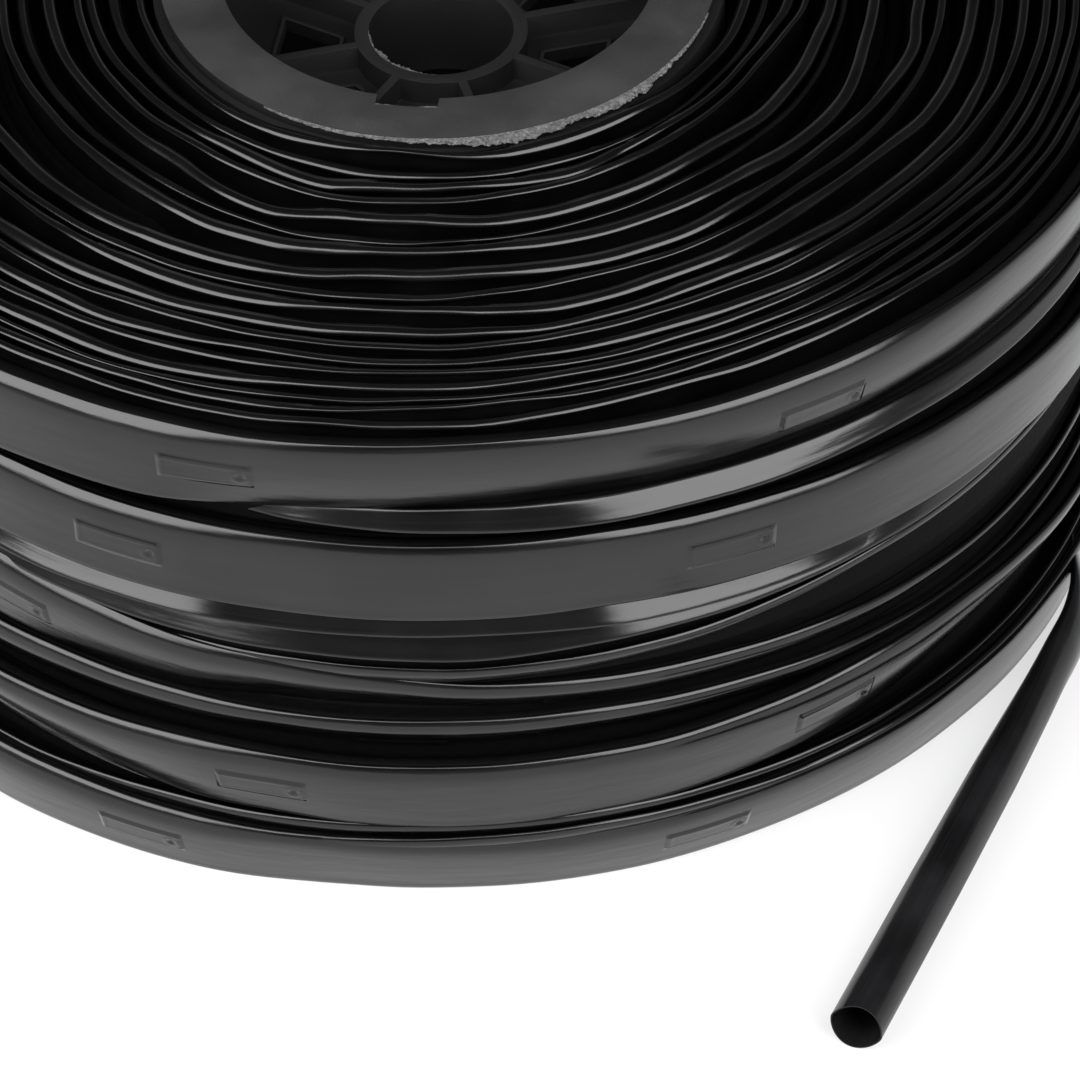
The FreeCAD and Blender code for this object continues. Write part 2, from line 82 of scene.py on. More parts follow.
# How far the view's lines of sight run outward for each millimetre down
SIGHT = 1.37

# Crests of the turns on the upper face, inner to outer: azimuth in degrees and radius in
# millimetres, then how far the crest lies below the flange face
FACE_CRESTS = [
    ([(-180, 80), (-150, 81.5), (-120, 83.4), (-100, 81.4), (-90, 82.7), (-80, 84.5), (-60, 84.4), (-20, 84.2)], 0.8),
    ([(-180, 88), (-150, 88), (-120, 90.6), (-110, 91.4), (-90, 92), (-80, 92.8), (-60, 90.5), (-20, 89)], 3.0),
    ([(-170, 94), (-150, 93), (-130, 94.7), (-120, 96), (-109, 98.5), (-100, 96.5), (-80, 96.4), (-70, 97.7),
      (-60, 94.2), (-50, 92.9), (-30, 91.7), (-20, 92.9), (-14, 95.1)], 1.0),
    ([(-170, 96.8), (-150, 97.4), (-130, 98.3), (-120, 100.2), (-108, 102), (-90, 100.4), (-70, 100.1),
      (-60, 98.3), (-50, 96.4), (-30, 95.4), (-20, 96.6), (-14, 98.7)], 0.5),
    ([(-170, 104.9), (-150, 104.7), (-141, 105.2), (-130, 106.5), (-120, 110.9), (-114, 112), (-105, 109.1),
      (-95, 108.8), (-84, 111.5), (-75, 110.1), (-65, 108.8), (-50, 107.3), (-40, 108.6), (-30, 107.2),
      (-20, 106.4)], 0.3),
    ([(-180, 112), (-140, 113), (-120, 116.2), (-110, 117.5), (-90, 116.9), (-80, 116.4), (-70, 114.4),
      (-60, 112.8), (-40, 112.5), (-30, 111), (-20, 109.8)], 3.0),
    ([(-178, 116), (-168, 117), (-150, 116.9), (-130, 120.4), (-120, 122.9), (-110, 123.4), (-100, 121.2),
      (-90, 120.6), (-80, 121.2), (-50, 121), (-40, 122.4), (-30, 122.2), (-20, 118.6), (-14, 117.5)], 0.4),
    ([(-180, 130), (-140, 133.6), (-120, 134.4), (-110, 133.2), (-100, 130), (-70, 131.3), (-60, 130.5),
      (-50, 127.7), (-40, 127.4), (-30, 128.6), (-17, 131.5), (-14, 129.4)], 0.5),
    ([(-180, 138), (-120, 139.8), (-100, 138.2), (-80, 136.5), (-60, 134.2), (-50, 133.2), (-20, 134.9)], 1.8),
    ([(-180, 141), (-140, 141.9), (-120, 145.2), (-110, 144.5), (-100, 141.9), (-90, 143), (-80, 145.1),
      (-70, 143.9), (-60, 142.7), (-50, 139.5), (-40, 139.8), (-30, 143.6), (-26, 143.5), (-20, 143.4)], 0.4),
    ([(-180, 152), (-130, 153.4), (-110, 151.6), (-85, 151.6), (-70, 150.2), (-60, 149), (-40, 151), (-30, 152.4),
      (-22, 151.4), (-14, 149.2)], 0.6),
    ([(-180, 157), (-130, 156.4), (-120, 155.6), (-100, 155.4), (-85, 155.4), (-75, 154.6), (-65, 152.8),
      (-40, 153.2), (-20, 156)], 0.3),
    ([(-180, 164), (-120, 163.5), (-110, 161.4), (-80, 160.7), (-55, 160.2), (-40, 162.5), (-30, 161.9)], 0.9),
    ([(-180, 169), (-130, 167.3), (-120, 166.5), (-100, 164.6), (-80, 164.4), (-60, 163), (-50, 162.4),
      (-30, 165.4)], 0.4),
    ([(-180, 175), (-120, 174), (-110, 173.3), (-100, 170.5), (-90, 170), (-80, 168.4), (-60, 167.9),
      (-50, 166), (-40, 167), (-30, 168.9)], 0.5),
    ([(-180, 178), (-120, 176.9), (-100, 175.5), (-90, 173.7), (-80, 172.4), (-65, 171.3), (-50, 170.8),
      (-30, 172.6)], 1.3),
    ([(-180, 182), (-120, 179.8), (-105, 179.6), (-95, 177.5), (-85, 175.6), (-60, 174.2), (-40, 174.4),
      (-30, 175.8)], 0.6),
    ([(-180, 185.4), (-120, 184), (-105, 184.2), (-90, 183.6), (-80, 181.6), (-70, 179.7), (-60, 179.1),
      (-40, 178.9)], 0.7),
]

# The outer rows: azimuth, radius and depth of the upper edge, tilt at the edge and at the foot
# (90 is upright, less leans out at the top), and over what length the tilt changes.
# Depths are millimetres below the flange face.
OUTER_ROWS = [
    [(-180, 187.2, 2.6, 88, 91, 5), (-130, 187.4, 2.2, 88, 91, 5), (-112, 187.4, 1.6, 88, 90, 20),
     (-104, 187.3, 1.3, 88, 56, 26), (-95, 187.2, 0.6, 87, 54, 26), (-80, 186.8, 0.4, 86, 54, 26),
     (-60, 186.6, 0.4, 86, 56, 26), (-45, 186.6, 0.5, 86, 62, 26), (-30, 186.6, 0.5, 86, 66, 26),
     (0, 186.4, 0.5, 86, 74, 24)],
    [(-180, 187.6, 31, 88, 90, 5), (-125, 187.6, 31, 88, 90, 5), (-107, 187.6, 32.4, 88, 90, 5),
     (-80, 187.6, 33, 86, 89, 5), (-70, 187.6, 34, 86, 89, 5), (-58, 187.6, 36.4, 86, 88, 5),
     (-42, 187.6, 41, 86, 86, 5), (-32, 187.6, 45, 86, 84, 5), (-12, 187.4, 47, 86, 86, 5), (0, 187.4, 46, 86, 88, 5)],
    [(-180, 185.4, 69, 86, 84, 14), (-128, 184.8, 70.6, 86, 80, 14), (-120, 184.6, 73.2, 86, 72, 13),
     (-111, 184.4, 77, 84, 66, 10), (-104, 184.2, 79, 84, 62, 8), (-90, 184, 84, 80, 54, 5), (-80, 184, 86, 80, 52, 4),
     (-70, 184, 88.2, 78, 52, 4), (-55, 184, 91.8, 76, 48, 3.4), (-40, 184, 95, 74, 42, 2.6), (0, 184, 96, 78, 60, 5)],
    [(-180, 185.6, 95, 84, 60, 8), (-128, 185.2, 96, 84, 56, 6), (-110, 185, 96, 82, 54, 5), (-80, 185, 96, 80, 52, 4),
     (-70, 185, 98, 80, 52, 4), (-62, 185, 100.4, 78, 52, 4), (-55, 185, 102.6, 78, 48, 3.4),
     (-40, 185, 106, 74, 42, 2.4), (0, 185, 106, 80, 60, 5)],
    [(-180, 189.6, 110.4, 82, 60, 12), (-130, 189.4, 110, 82, 58, 11), (-118, 189.4, 108.6, 82, 64, 18),
     (-110, 189.4, 107.6, 82, 74, 24), (-90, 189.2, 108, 82, 80, 30), (-75, 189.2, 108, 82, 76, 26),
     (-65, 189.2, 106, 82, 74, 22), (-57, 189.3, 105, 80, 70, 20), (-47, 189.4, 105.4, 80, 58, 16),
     (-38, 189.5, 108, 78, 46, 11), (-27, 189.6, 112, 78, 44, 8), (0, 189.4, 112, 80, 60, 10)],
    [(-180, 191.6, 136, 84, 80, 9), (-130, 191.2, 136.2, 83, 78, 9), (-115, 189.8, 136.6, 80, 75, 12),
     (-100, 188.6, 136.6, 77, 71, 12), (-80, 188.2, 136.6, 77, 71, 12), (-65, 188.4, 136.4, 78, 72, 12),
     (-50, 189, 136.2, 80, 75, 12), (-35, 189.6, 136, 83, 78, 12), (0, 190, 136, 84, 80, 12)],
    [(-180, 191.8, 136.4, 76, 66, 9), (0, 191.7, 136.4, 76, 66, 9)],
]

# Turns under the outer rows, whose edges show in the gaps: as above, with the width that shows
GAP_TURNS = [
    [(-180, 182.6, 24, 92, 92, 5, 8), (-108, 182.6, 24, 92, 92, 5, 8), (0, 182, 26, 92, 92, 5, 8)],
    [(-180, 182.4, 60, 92, 92, 5, 20), (-90, 182.2, 60, 92, 92, 5, 24), (0, 182.4, 60, 92, 92, 5, 24)],
    [(-180, 182.6, 118, 88, 88, 5, 14), (0, 182.8, 118, 88, 88, 5, 14)],
]

# Turns of which no more than the shining rim shows between the rows, in the same form
RIM_TURNS = [
    [(-180, 180, 72, 88, 70, 4, 12), (-104, 184, 77.4, 84, 58, 3, 12), (-90, 185, 77.4, 82, 54, 3, 12),
     (-80, 185.4, 76.4, 82, 50, 3, 12), (-70, 185.4, 74.6, 82, 48, 3, 14), (-55, 185.4, 70.7, 80, 46, 3, 20),
     (-32, 185, 69.4, 76, 42, 2.4, 24), (-18, 184, 69.4, 78, 50, 3, 24), (0, 176, 69.4, 78, 50, 3, 24)],
    [(-180, 187.6, 138, 84, 60, 3, 10), (-130, 187.4, 137.4, 84, 60, 3, 10), (-116, 187.2, 133.8, 84, 60, 3, 10),
     (-95, 187.2, 131.6, 84, 56, 3, 10), (-80, 187.2, 131.2, 84, 52, 3, 10), (-57, 187.2, 132.8, 72, 40, 2, 10),
     (-40, 187.2, 133.4, 62, 36, 2, 10), (0, 187.2, 134, 70, 40, 2, 10)],
    [(-180, 176, 141.4, 84, 60, 3, 10), (-156, 188.6, 141.4, 84, 60, 3, 10), (-130, 188.8, 141.6, 84, 60, 3, 10),
     (-115, 188.8, 138.4, 84, 60, 3, 10), (-100, 188.8, 136.2, 84, 56, 3, 10), (-80, 188.8, 134, 84, 52, 3, 10),
     (-62, 188.8, 136.2, 72, 40, 2, 10), (-40, 188.8, 136.6, 62, 36, 2, 10), (0, 188.8, 137, 70, 40, 2, 10)],
]

# Turns of which a strip lies tilted upward between the rows, in the same form
TILTED_TURNS = [
    [(-180, 178, 25, 92, 92, 4, 6), (-112, 178, 25, 100, 104, 4, 6), (-103, 182.6, 24.8, 114, 118, 4, 5),
     (-94, 184.8, 23.6, 116, 120, 4, 6), (-84, 185.6, 22.8, 117, 121, 4, 6.8), (-80, 186, 22.8, 121, 125, 4, 6.8),
     (-66, 186, 22.8, 120, 124, 4, 6.8), (-58, 186, 23, 115, 119, 4, 6.2), (-50, 186, 23.8, 112, 116, 4, 6),
     (-33, 185.6, 26, 104, 104, 4, 5), (-18, 184, 26.6, 98, 98, 4, 5), (0, 175, 27, 95, 95, 4, 5)],
    [(-180, 183, 58, 104, 104, 4, 8), (-128, 185.4, 54.4, 118, 122, 4, 9), (-124, 185.6, 54.4, 122, 126, 4, 9),
     (-109, 185.4, 54.6, 122, 126, 4, 9), (-104, 184.4, 55, 117, 120, 4, 9), (-84, 184.4, 55.2, 117, 120, 4, 9),
     (-79, 185.4, 55.2, 122, 126, 4, 9), (-63, 185.6, 57, 120, 124, 4, 8.4), (-52, 185.2, 60.6, 108, 108, 4, 6),
     (0, 181, 64, 95, 95, 4, 6)],
    [(-180, 179, 66, 95, 95, 4, 8), (-124, 182, 65.4, 116, 120, 4, 8), (-90, 184, 65.4, 117, 121, 4, 8),
     (-78, 186.4, 63.6, 121, 125, 4, 6), (-57, 186.6, 62, 120, 124, 4, 5), (-45, 185, 62, 106, 106, 4, 6),
     (0, 181, 62, 92, 92, 4, 6)],
]

# How far the rows' upper edges curl over, and how far the winding turns before its end comes free
ROW_CROWN = 55
FREE_FROM = 6 * 360 + 180 + 24.5

# Where the outer rows start behind, under the upper face's last turn, as in the rows' table
LEAD_IN = (183.0, 1.6, 80, 91, 5)

# How much further in and down the turns under the rows lie, and how much less of them shows
UNDER = (3.3, 1.6, 3)

# Height of each row's middle above the floor, where the emitters lie
ROW_LEVELS = [147.5, 115.5, 90.0, 64.5, 39.0, 12.4]


def length_setting(name, description, default):
    return FloatProperty(name=name, description=description, default=default, unit="LENGTH")


def power_setting(name, description, default):
    return FloatProperty(name=name, description=description, default=default, unit="POWER")


def colour_setting(name, description, default):
    return FloatVectorProperty(name=name, description=description, default=default, subtype="COLOR")


# Settings that a user would change
class TapeSettings(bpy.types.PropertyGroup):
    """Sizes and colours of the tape."""
    width: length_setting("Flat width", "Width of the tape lying flat", 0.0245)
    thickness: length_setting("Pressed thickness", "Both walls pressed together", 0.001)
    fold: length_setting("Fold swell", "How much thicker the folded edges are", 0.00015)
    wall: length_setting("Wall", "Wall of the open tape", 0.0004)
    front_steps: IntProperty(name="Steps in front", description="Sections in the half turn in front", default=132)
    back_steps: IntProperty(name="Steps behind", description="Sections in the half turn behind", default=60)
    colour: colour_setting("Tape colour", "Colour of the tape", (0.0022, 0.0022, 0.0024))


class HubSettings(bpy.types.PropertyGroup):
    """Sizes and colours of the hubs."""
    edge: length_setting("Edge rounding", "Rounding of the moulded edges", 0.00035)
    colour: colour_setting("Hub colour", "Colour of the moulded hubs", (0.0235, 0.0235, 0.0242))


class StageSettings(bpy.types.PropertyGroup):
    """Floor and light."""
    floor: colour_setting("Floor colour", "Colour of the floor", (0.78, 0.78, 0.78))
    left_light: power_setting("Left softbox", "Power of the left softbox", 21)
    right_light: power_setting("Right softbox", "Power of the right softbox", 20)
    middle_light: power_setting("Middle softbox", "Power of the softbox between them", 2.2)
    white: FloatProperty(
        name="White floor", description="Share of plain white in the floor", default=0.65, subtype="FACTOR",
    )
    surround: FloatProperty(name="Surround", description="Light from the horizon", default=0.32)
    overhead: FloatProperty(name="Overhead", description="Light from straight above", default=0.06)


# Shader expressions: a wrapped socket adds its maths nodes as it is used
class Value:
    """A shader socket that takes part in arithmetic."""

    def __init__(self, shader, socket):
        self.shader = shader
        self.socket = socket

    def maths(self, operation, *others):
        return self.shader.node("ShaderNodeMath", {"operation": operation}, [self, *others])

    def __add__(self, other):
        return self.maths("ADD", other)

    __radd__ = __add__

    def __sub__(self, other):
        return self.maths("SUBTRACT", other)

    def __mul__(self, other):
        return self.maths("MULTIPLY", other)

    def __abs__(self):
        return self.maths("ABSOLUTE")

    def between(self, low, high):
        """Goes smoothly from 0 to 1 as the value goes from low to high."""
        settings = {"interpolation_type": "SMOOTHSTEP"}
        return self.shader.node("ShaderNodeMapRange", settings, {"Value": self, "From Min": low, "From Max": high})


class Shader:
    """A material, or the world, and the nodes that are added to it."""

    def __init__(self, name, kind="Material"):
        self.kind = kind
        self.owner = (bpy.data.worlds if kind == "World" else bpy.data.materials).new(name)
        self.owner.use_nodes = True
        self.tree = self.owner.node_tree
        self.tree.nodes.clear()

    def node(self, kind, settings=None, inputs=None, output=0):
        """Adds a node, sets it, then fills its sockets with values or links."""
        node = self.tree.nodes.new(kind)
        for name, value in (settings or {}).items():
            setattr(node, name, value)
        pairs = inputs.items() if isinstance(inputs, dict) else enumerate(inputs or [])
        for key, value in pairs:
            if isinstance(value, Value):
                self.tree.links.new(value.socket, node.inputs[key])
            else:
                node.inputs[key].default_value = value
        return Value(self, node.outputs[output])

    def place(self):
        """Where a point of the object is, in millimetres."""
        objects = self.node("ShaderNodeTexCoord", output="Object")
        return self.node("ShaderNodeVectorMath", {"operation": "SCALE"}, {"Vector": objects, "Scale": 1000.0})

    def part(self, vector, axis):
        return self.node("ShaderNodeSeparateXYZ", None, [vector], axis)

    def along(self, length, width):
        """The piece's own map of length and width, stretched."""
        own = self.node("ShaderNodeUVMap", {"uv_map": "strip"})
        settings = {"vector_type": "POINT"}
        return self.node("ShaderNodeMapping", settings, {"Vector": own, "Scale": (length, width, 1.0)})

    def noise(self, where, scale, detail=3.0, roughness=0.5):
        inputs = {"Vector": where, "Scale": scale, "Detail": detail, "Roughness": roughness}
        return self.node("ShaderNodeTexNoise", None, inputs)

    def blend(self, factor, low, high):
        """A colour between two colours, which go to the mix node's seventh and eighth sockets."""
        low, high = (end if isinstance(end, Value) else (*end, 1.0) for end in (low, high))
        return self.node("ShaderNodeMix", {"data_type": "RGBA"}, {"Factor": factor, 6: low, 7: high}, 2)

    def bump(self, height, distance, strength=1.0, under=None):
        inputs = {"Height": height, "Distance": distance, "Strength": strength}
        if under:
            inputs["Normal"] = under
        return self.node("ShaderNodeBump", None, inputs)

    def finish(self, **inputs):
        """Ends the material in one Principled shader."""
        named = {name.replace("_", " "): value for name, value in inputs.items()}
        return self.surface(self.node("ShaderNodeBsdfPrincipled", None, named))

    def surface(self, shader):
        output = self.tree.nodes.new(f"ShaderNodeOutput{self.kind}")
        self.tree.links.new(shader.socket, output.inputs["Surface"])
        return self.owner


def tape_material(colour, name="black_film", shine=0.5):
    """Black satin film: lengthwise drawing lines, faint haze and handling marks."""
    shader = Shader(name)
    lines = shader.noise(shader.along(6.0, 2600.0), 1.0, 4.0, 0.6)
    broad = shader.noise(shader.along(30.0, 160.0), 1.0, 3.0)
    haze = shader.noise(shader.place(), 0.05, 4.0)
    marks = shader.noise(shader.place(), 0.9, 5.0, 0.7).between(0.62, 0.78)
    dark = tuple(part * 0.6 for part in colour)
    light = tuple(part * 1.9 for part in colour)
    base = shader.blend((haze * 0.6 + lines * 0.4).between(0.35, 0.7), dark, light)
    roughness = 0.11 + haze * 0.06 + lines * 0.06 + marks * 0.08
    normal = shader.bump(broad, 0.0006, 0.3)
    normal = shader.bump(lines, 0.00003, 0.5, under=normal)
    return shader.finish(Base_Color=base, Roughness=roughness, Normal=normal, IOR=1.5, Specular_IOR_Level=shine)


def gap_shade_material():
    """The film between the turns, painted near black and with little shine as the shade in the gaps."""
    shader = Shader("film_in_the_gaps")
    lines = shader.noise(shader.place(), 0.6, 3.0)
    base = shader.blend(lines, (0.0008, 0.0008, 0.0009), (0.0028, 0.0028, 0.003))
    normal = shader.bump(lines, 0.0004, 0.6)
    return shader.finish(Base_Color=base, Roughness=0.6 + lines * 0.2, Normal=normal, Specular_IOR_Level=0.06)


# Where the flange and the ribs lie in a hub, from the roll's middle along the axis, in millimetres; level faces
# further in than these, and all walls, get painted shade
FLANGE_LEVEL = (78.9, 79.6)
RIB_LEVEL = (51.3, 51.8)


def hub_material(colour):
    """Black plastic with a grained skin and painted shade: grey on the flange's outer face, painted dim on the level
    faces at the ribs, painted near black on the walls and in the recess.
    """
    shader = Shader("moulded_hub")
    where = shader.place()
    # Masks for the painted shade: only level faces out at the flange keep the full colour, level faces out at the ribs
    # are painted dim, the rest near black
    height = abs(shader.part(where, "Z") - TOP / 2)
    level = abs(shader.part(shader.node("ShaderNodeNewGeometry", output="Normal"), "Z")).between(0.4, 0.9)
    flange = level * height.between(*FLANGE_LEVEL)
    ribs = level * height.between(*RIB_LEVEL)
    grain = shader.noise(where, 1.6, 6.0, 0.65)
    flow = shader.noise(where, 0.06, 4.0)
    scuffs = shader.noise(where, 0.35, 8.0, 0.75).between(0.56, 0.74)
    dark = tuple(part * 0.72 for part in colour)
    light = tuple(part * 1.5 for part in colour)
    base = shader.blend((flow * 0.6 + grain * 0.4).between(0.3, 0.7), dark, light)
    base = shader.blend(scuffs * 0.5, base, tuple(part * 2.4 for part in colour))
    # Painted shade in the recess and on the walls
    recess_shade = shader.blend(ribs * (0.2 + grain * 0.3), (0.0035, 0.0035, 0.0036), colour)
    base = shader.blend(flange, recess_shade, base)
    normal = shader.bump(grain, 0.00022, 0.6)
    roughness = 0.5 + grain * 0.12 + scuffs * 0.1
    return shader.finish(Base_Color=base, Roughness=roughness, Normal=normal, Specular_IOR_Level=0.35)


def flash_and_highlight_material():
    """Torn, whitened plastic on the rough edge; the same light grey is a painted highlight along the drive notch's
    edge.
    """
    shader = Shader("torn_edge")
    where = shader.place()
    torn = shader.noise(where, 0.9, 8.0, 0.8)
    base = shader.blend(torn.between(0.35, 0.7), (0.035, 0.035, 0.035), (0.2, 0.2, 0.2))
    return shader.finish(Base_Color=base, Roughness=0.6 + torn * 0.2, Normal=shader.bump(torn, 0.0006, 0.9))


def core_material():
    """The extruded core tube, dull and ringed."""
    shader = Shader("core_tube_skin")
    where = shader.place()
    banded = {"Vector": where, "Scale": 0.5, "Distortion": 1.5}
    rings = shader.node("ShaderNodeTexWave", {"bands_direction": "Z"}, banded, 1)
    grain = shader.noise(where, 1.2, 5.0)
    base = shader.blend(grain, (0.003, 0.003, 0.0031), (0.008, 0.008, 0.0082))
    normal = shader.bump(rings * 0.5 + grain, 0.0002, 0.6)
    return shader.finish(Base_Color=base, Roughness=0.5 + grain * 0.15, Normal=normal)


def settings():
    return bpy.context.scene.tape_roll


def material(name, make, *arguments):
    """The material of this name, made at its first use."""
    return bpy.data.materials.get(name) or make(*arguments)


def film():
    return material("black_film", tape_material, settings().tape.colour)


def gap_shade_film():
    return material("film_in_the_gaps", gap_shade_material)


def closed(mesh, form=None, smooth=True):
    """Turns a mesh's faces outward, or those of a form that is then written into it."""
    if form is None:
        form = bmesh.new()
        form.from_mesh(mesh)
    bmesh.ops.recalc_face_normals(form, faces=form.faces)
    form.to_mesh(mesh)
    form.free()
    mesh.polygons.foreach_set("use_smooth", [smooth] * len(mesh.polygons))
    mesh.update()
    return mesh


def add_piece(name, mesh, finish):
    """Links a finished mesh as a piece that rides on the roll's one body."""
    piece = bpy.data.objects.new(name, mesh)
    bpy.context.scene.collection.objects.link(piece)
    mesh.materials.clear()
    mesh.materials.append(finish)
    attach(piece, "root")
    return piece


def ease(share):
    """Goes smoothly from 0 to 1 as the share does, and stays there."""
    share = np.clip(share, 0, 1)
    return share * share * (3 - 2 * share)


def summed(steps):
    """Running total that starts at 0."""
    return np.concatenate([[0], np.cumsum(steps)])


def smoothed(values, reach):
    """Rounds off a run of values, its two ends kept."""
    kernel = np.hanning(2 * reach + 3)[1:-1]
    kernel /= kernel.sum()
    padded = np.pad(values, reach, mode="edge")
    return np.convolve(padded, kernel, mode="valid")


def winding(turns, front, back):
    """Azimuths and the other columns of knotted turns, front half turns joined behind."""
    ahead = np.linspace(0, -180, front, endpoint=False)
    behind = np.linspace(180, 0, back, endpoint=False)
    azimuths, columns = [], []
    fronts = []
    for knots in turns:
        table = np.array(sorted(knots))
        fronts.append([np.interp(ahead, table[:, 0], table[:, i]) for i in range(1, table.shape[1])])
    for number, values in enumerate(fronts):
        values = np.array(values)
        azimuths.append(ahead)
        columns.append(values)
        if number + 1 < len(fronts):
            share = ease(np.linspace(0, 1, back, endpoint=False))
            start = values[:, -1:]
            end = np.array(fronts[number + 1])[:, :1]
            azimuths.append(behind)
            columns.append(start + (end - start) * share)
    azimuth = np.concatenate(azimuths)
    columns = np.concatenate(columns, axis=1)
    return azimuth, [smoothed(column, 2) for column in columns]


def waves(length, seed, *parts):
    """A gentle unevenness along the tape from a few waves of set length and height."""
    total = np.zeros_like(length)
    for number, (wave, height) in enumerate(parts):
        shift = seed * 2.4 + number * 1.7
        total += height * np.sin(length * math.tau / wave + shift + 0.6 * np.sin(length / wave + seed))
    return total


# Where a section of the strip has its points, as shares of the width: from edge to edge on the
# side that faces out, and back on the other side
OUT_SIDE = np.array([0, 0.14, 0.4, 0.8, 1.4, 2.2, 3.3, 4.8, 7, 10, 13.5, 17, 20.5, 22.7, 23.8, 24.3, 24.5]) / 24.5
IN_SIDE = np.array([24.2, 23, 18, 10, 6, 3.5, 1.8, 0.8, 0.3]) / 24.5

# Millimetres in from an edge where the strip reaches its full thickness, where its fold is
# thickest, and how far the fold goes on from there
EDGE_REACH = 0.25
FOLD_PLACE = 0.8
FOLD_REACH = 0.7


def strip_sections(azimuth, places, crown, sudden=1.5, curl=1.5, blunt=2, layers=1):
    """Closed sections of the tape on edge: its upper edge's place, its tilts, its bow and its width."""
    curl = np.zeros(len(azimuth)) + curl
    radius, depth, tilt, foot_tilt, turn_in, bow, width = places
    tape = settings().tape
    half, fold = layers * tape.thickness / MM / 2, tape.fold / MM
    sections = []
    for row in range(len(azimuth)):
        reach = OUT_SIDE * width[row]
        angle = foot_tilt[row] + (tilt[row] - foot_tilt[row]) * np.exp(-(reach / turn_in[row]) ** sudden)
        angle = np.radians(angle + crown * np.exp(-(reach / curl[row]) ** blunt))
        middle_angle = (angle[1:] + angle[:-1]) / 2
        steps = np.diff(reach)
        along, down = summed(-np.cos(middle_angle) * steps), summed(-np.sin(middle_angle) * steps)
        bowed = bow[row] * 4 * OUT_SIDE * (1 - OUT_SIDE)
        along = along + np.sin(angle) * bowed
        down = down - np.cos(angle) * bowed
        outline = []
        for side, shares in ((1, OUT_SIDE), (-1, IN_SIDE)):
            place = shares * width[row]
            edge = np.minimum(place, width[row] - place)
            thick = half * np.minimum(1, np.sqrt(edge / EDGE_REACH))
            thick = thick + fold * np.exp(-((edge - FOLD_PLACE) / FOLD_REACH) ** 2) * (edge > 0)
            turn = np.interp(place, reach, angle)
            across = np.interp(place, reach, along) + side * thick * np.sin(turn)
            rise = np.interp(place, reach, down) - side * thick * np.cos(turn)
            outline.append(np.stack([across, rise], axis=1))
        outline = np.concatenate(outline)
        spoke = math.radians(azimuth[row])
        across = radius[row] + outline[:, 0]
        height = TOP - depth[row] + outline[:, 1]
        sections.append(np.stack([across * math.cos(spoke), across * math.sin(spoke), height], axis=1))
    return np.array(sections) * MM


def skin(lengths, widths, first=0, inward=False):
    """Faces between neighbouring sections, and their corners' places on the map of length and width."""
    around = len(widths) - 1
    faces, uvs = [], []
    for i in range(len(lengths) - 1):
        for j in range(around):
            corners = [(i, j), (i, j + 1), (i + 1, j + 1), (i + 1, j)]
            if inward:
                corners = [corners[0], *corners[:0:-1]]
            faces.append(tuple(first + row * around + column % around for row, column in corners))
            uvs += [(lengths[row], widths[column]) for row, column in corners]
    return faces, uvs


def mapped(name, points, faces, uvs):
    """A closed, smooth mesh with its own map of length and width."""
    mesh = bpy.data.meshes.new(name)
    mesh.from_pydata(points.reshape(-1, 3).tolist(), [], faces)
    mesh.uv_layers.new(name="strip").data.foreach_set("uv", np.array(uvs).ravel())
    return closed(mesh)


def strip_mesh(name, sections, lengths):
    """A skin over closed sections, shut at both ends."""
    count, around = sections.shape[:2]
    girth = np.linalg.norm(np.diff(np.concatenate([sections[0], sections[0][:1]]), axis=0), axis=1)
    widths = summed(girth)
    faces, uvs = skin(lengths, widths)
    for end, order in ((0, 1), (count - 1, -1)):
        faces.append(tuple(end * around + j for j in range(around))[::order])
        uvs += [(lengths[end], widths[j]) for j in range(around)][::order]
    return mapped(name, sections, faces, uvs)


def path_lengths(sections):
    """Length along the sections' middles at each section."""
    return summed(np.linalg.norm(np.diff(sections.mean(axis=1), axis=0), axis=1))


def wind(name, azimuth, places, crown=45, sudden=1.5, curl=1.5, blunt=2, dull=False, layers=1):
    """One strip of tape wound through the given places, as a piece kept inside the roll's height."""
    sections = strip_sections(azimuth, places, crown, sudden, curl, blunt, layers)
    sections[:, :, 2] = np.clip(sections[:, :, 2], 0.0001, (TOP - 0.05) * MM)
    mesh = strip_mesh(name, sections, path_lengths(sections))
    # With dull set, the strip gets the film painted near black as shade
    return add_piece(name, mesh, gap_shade_film() if dull else film())


def turned_by(azimuth):
    """How many degrees the winding has turned at each section."""
    turned = np.abs(np.diff(azimuth))
    return summed(np.minimum(turned, 360 - turned))


def travelled(azimuth, radius):
    """Length along the winding in millimetres at each section."""
    return summed(np.radians(np.diff(turned_by(azimuth))) * radius[1:])


# Outside of the core tube, how steeply a curled crest rises, and where the softboxes light the face
CORE_RADIUS = 76.5
CREST_RISE = 0.69
LIT_AZIMUTHS = (-119, -66)


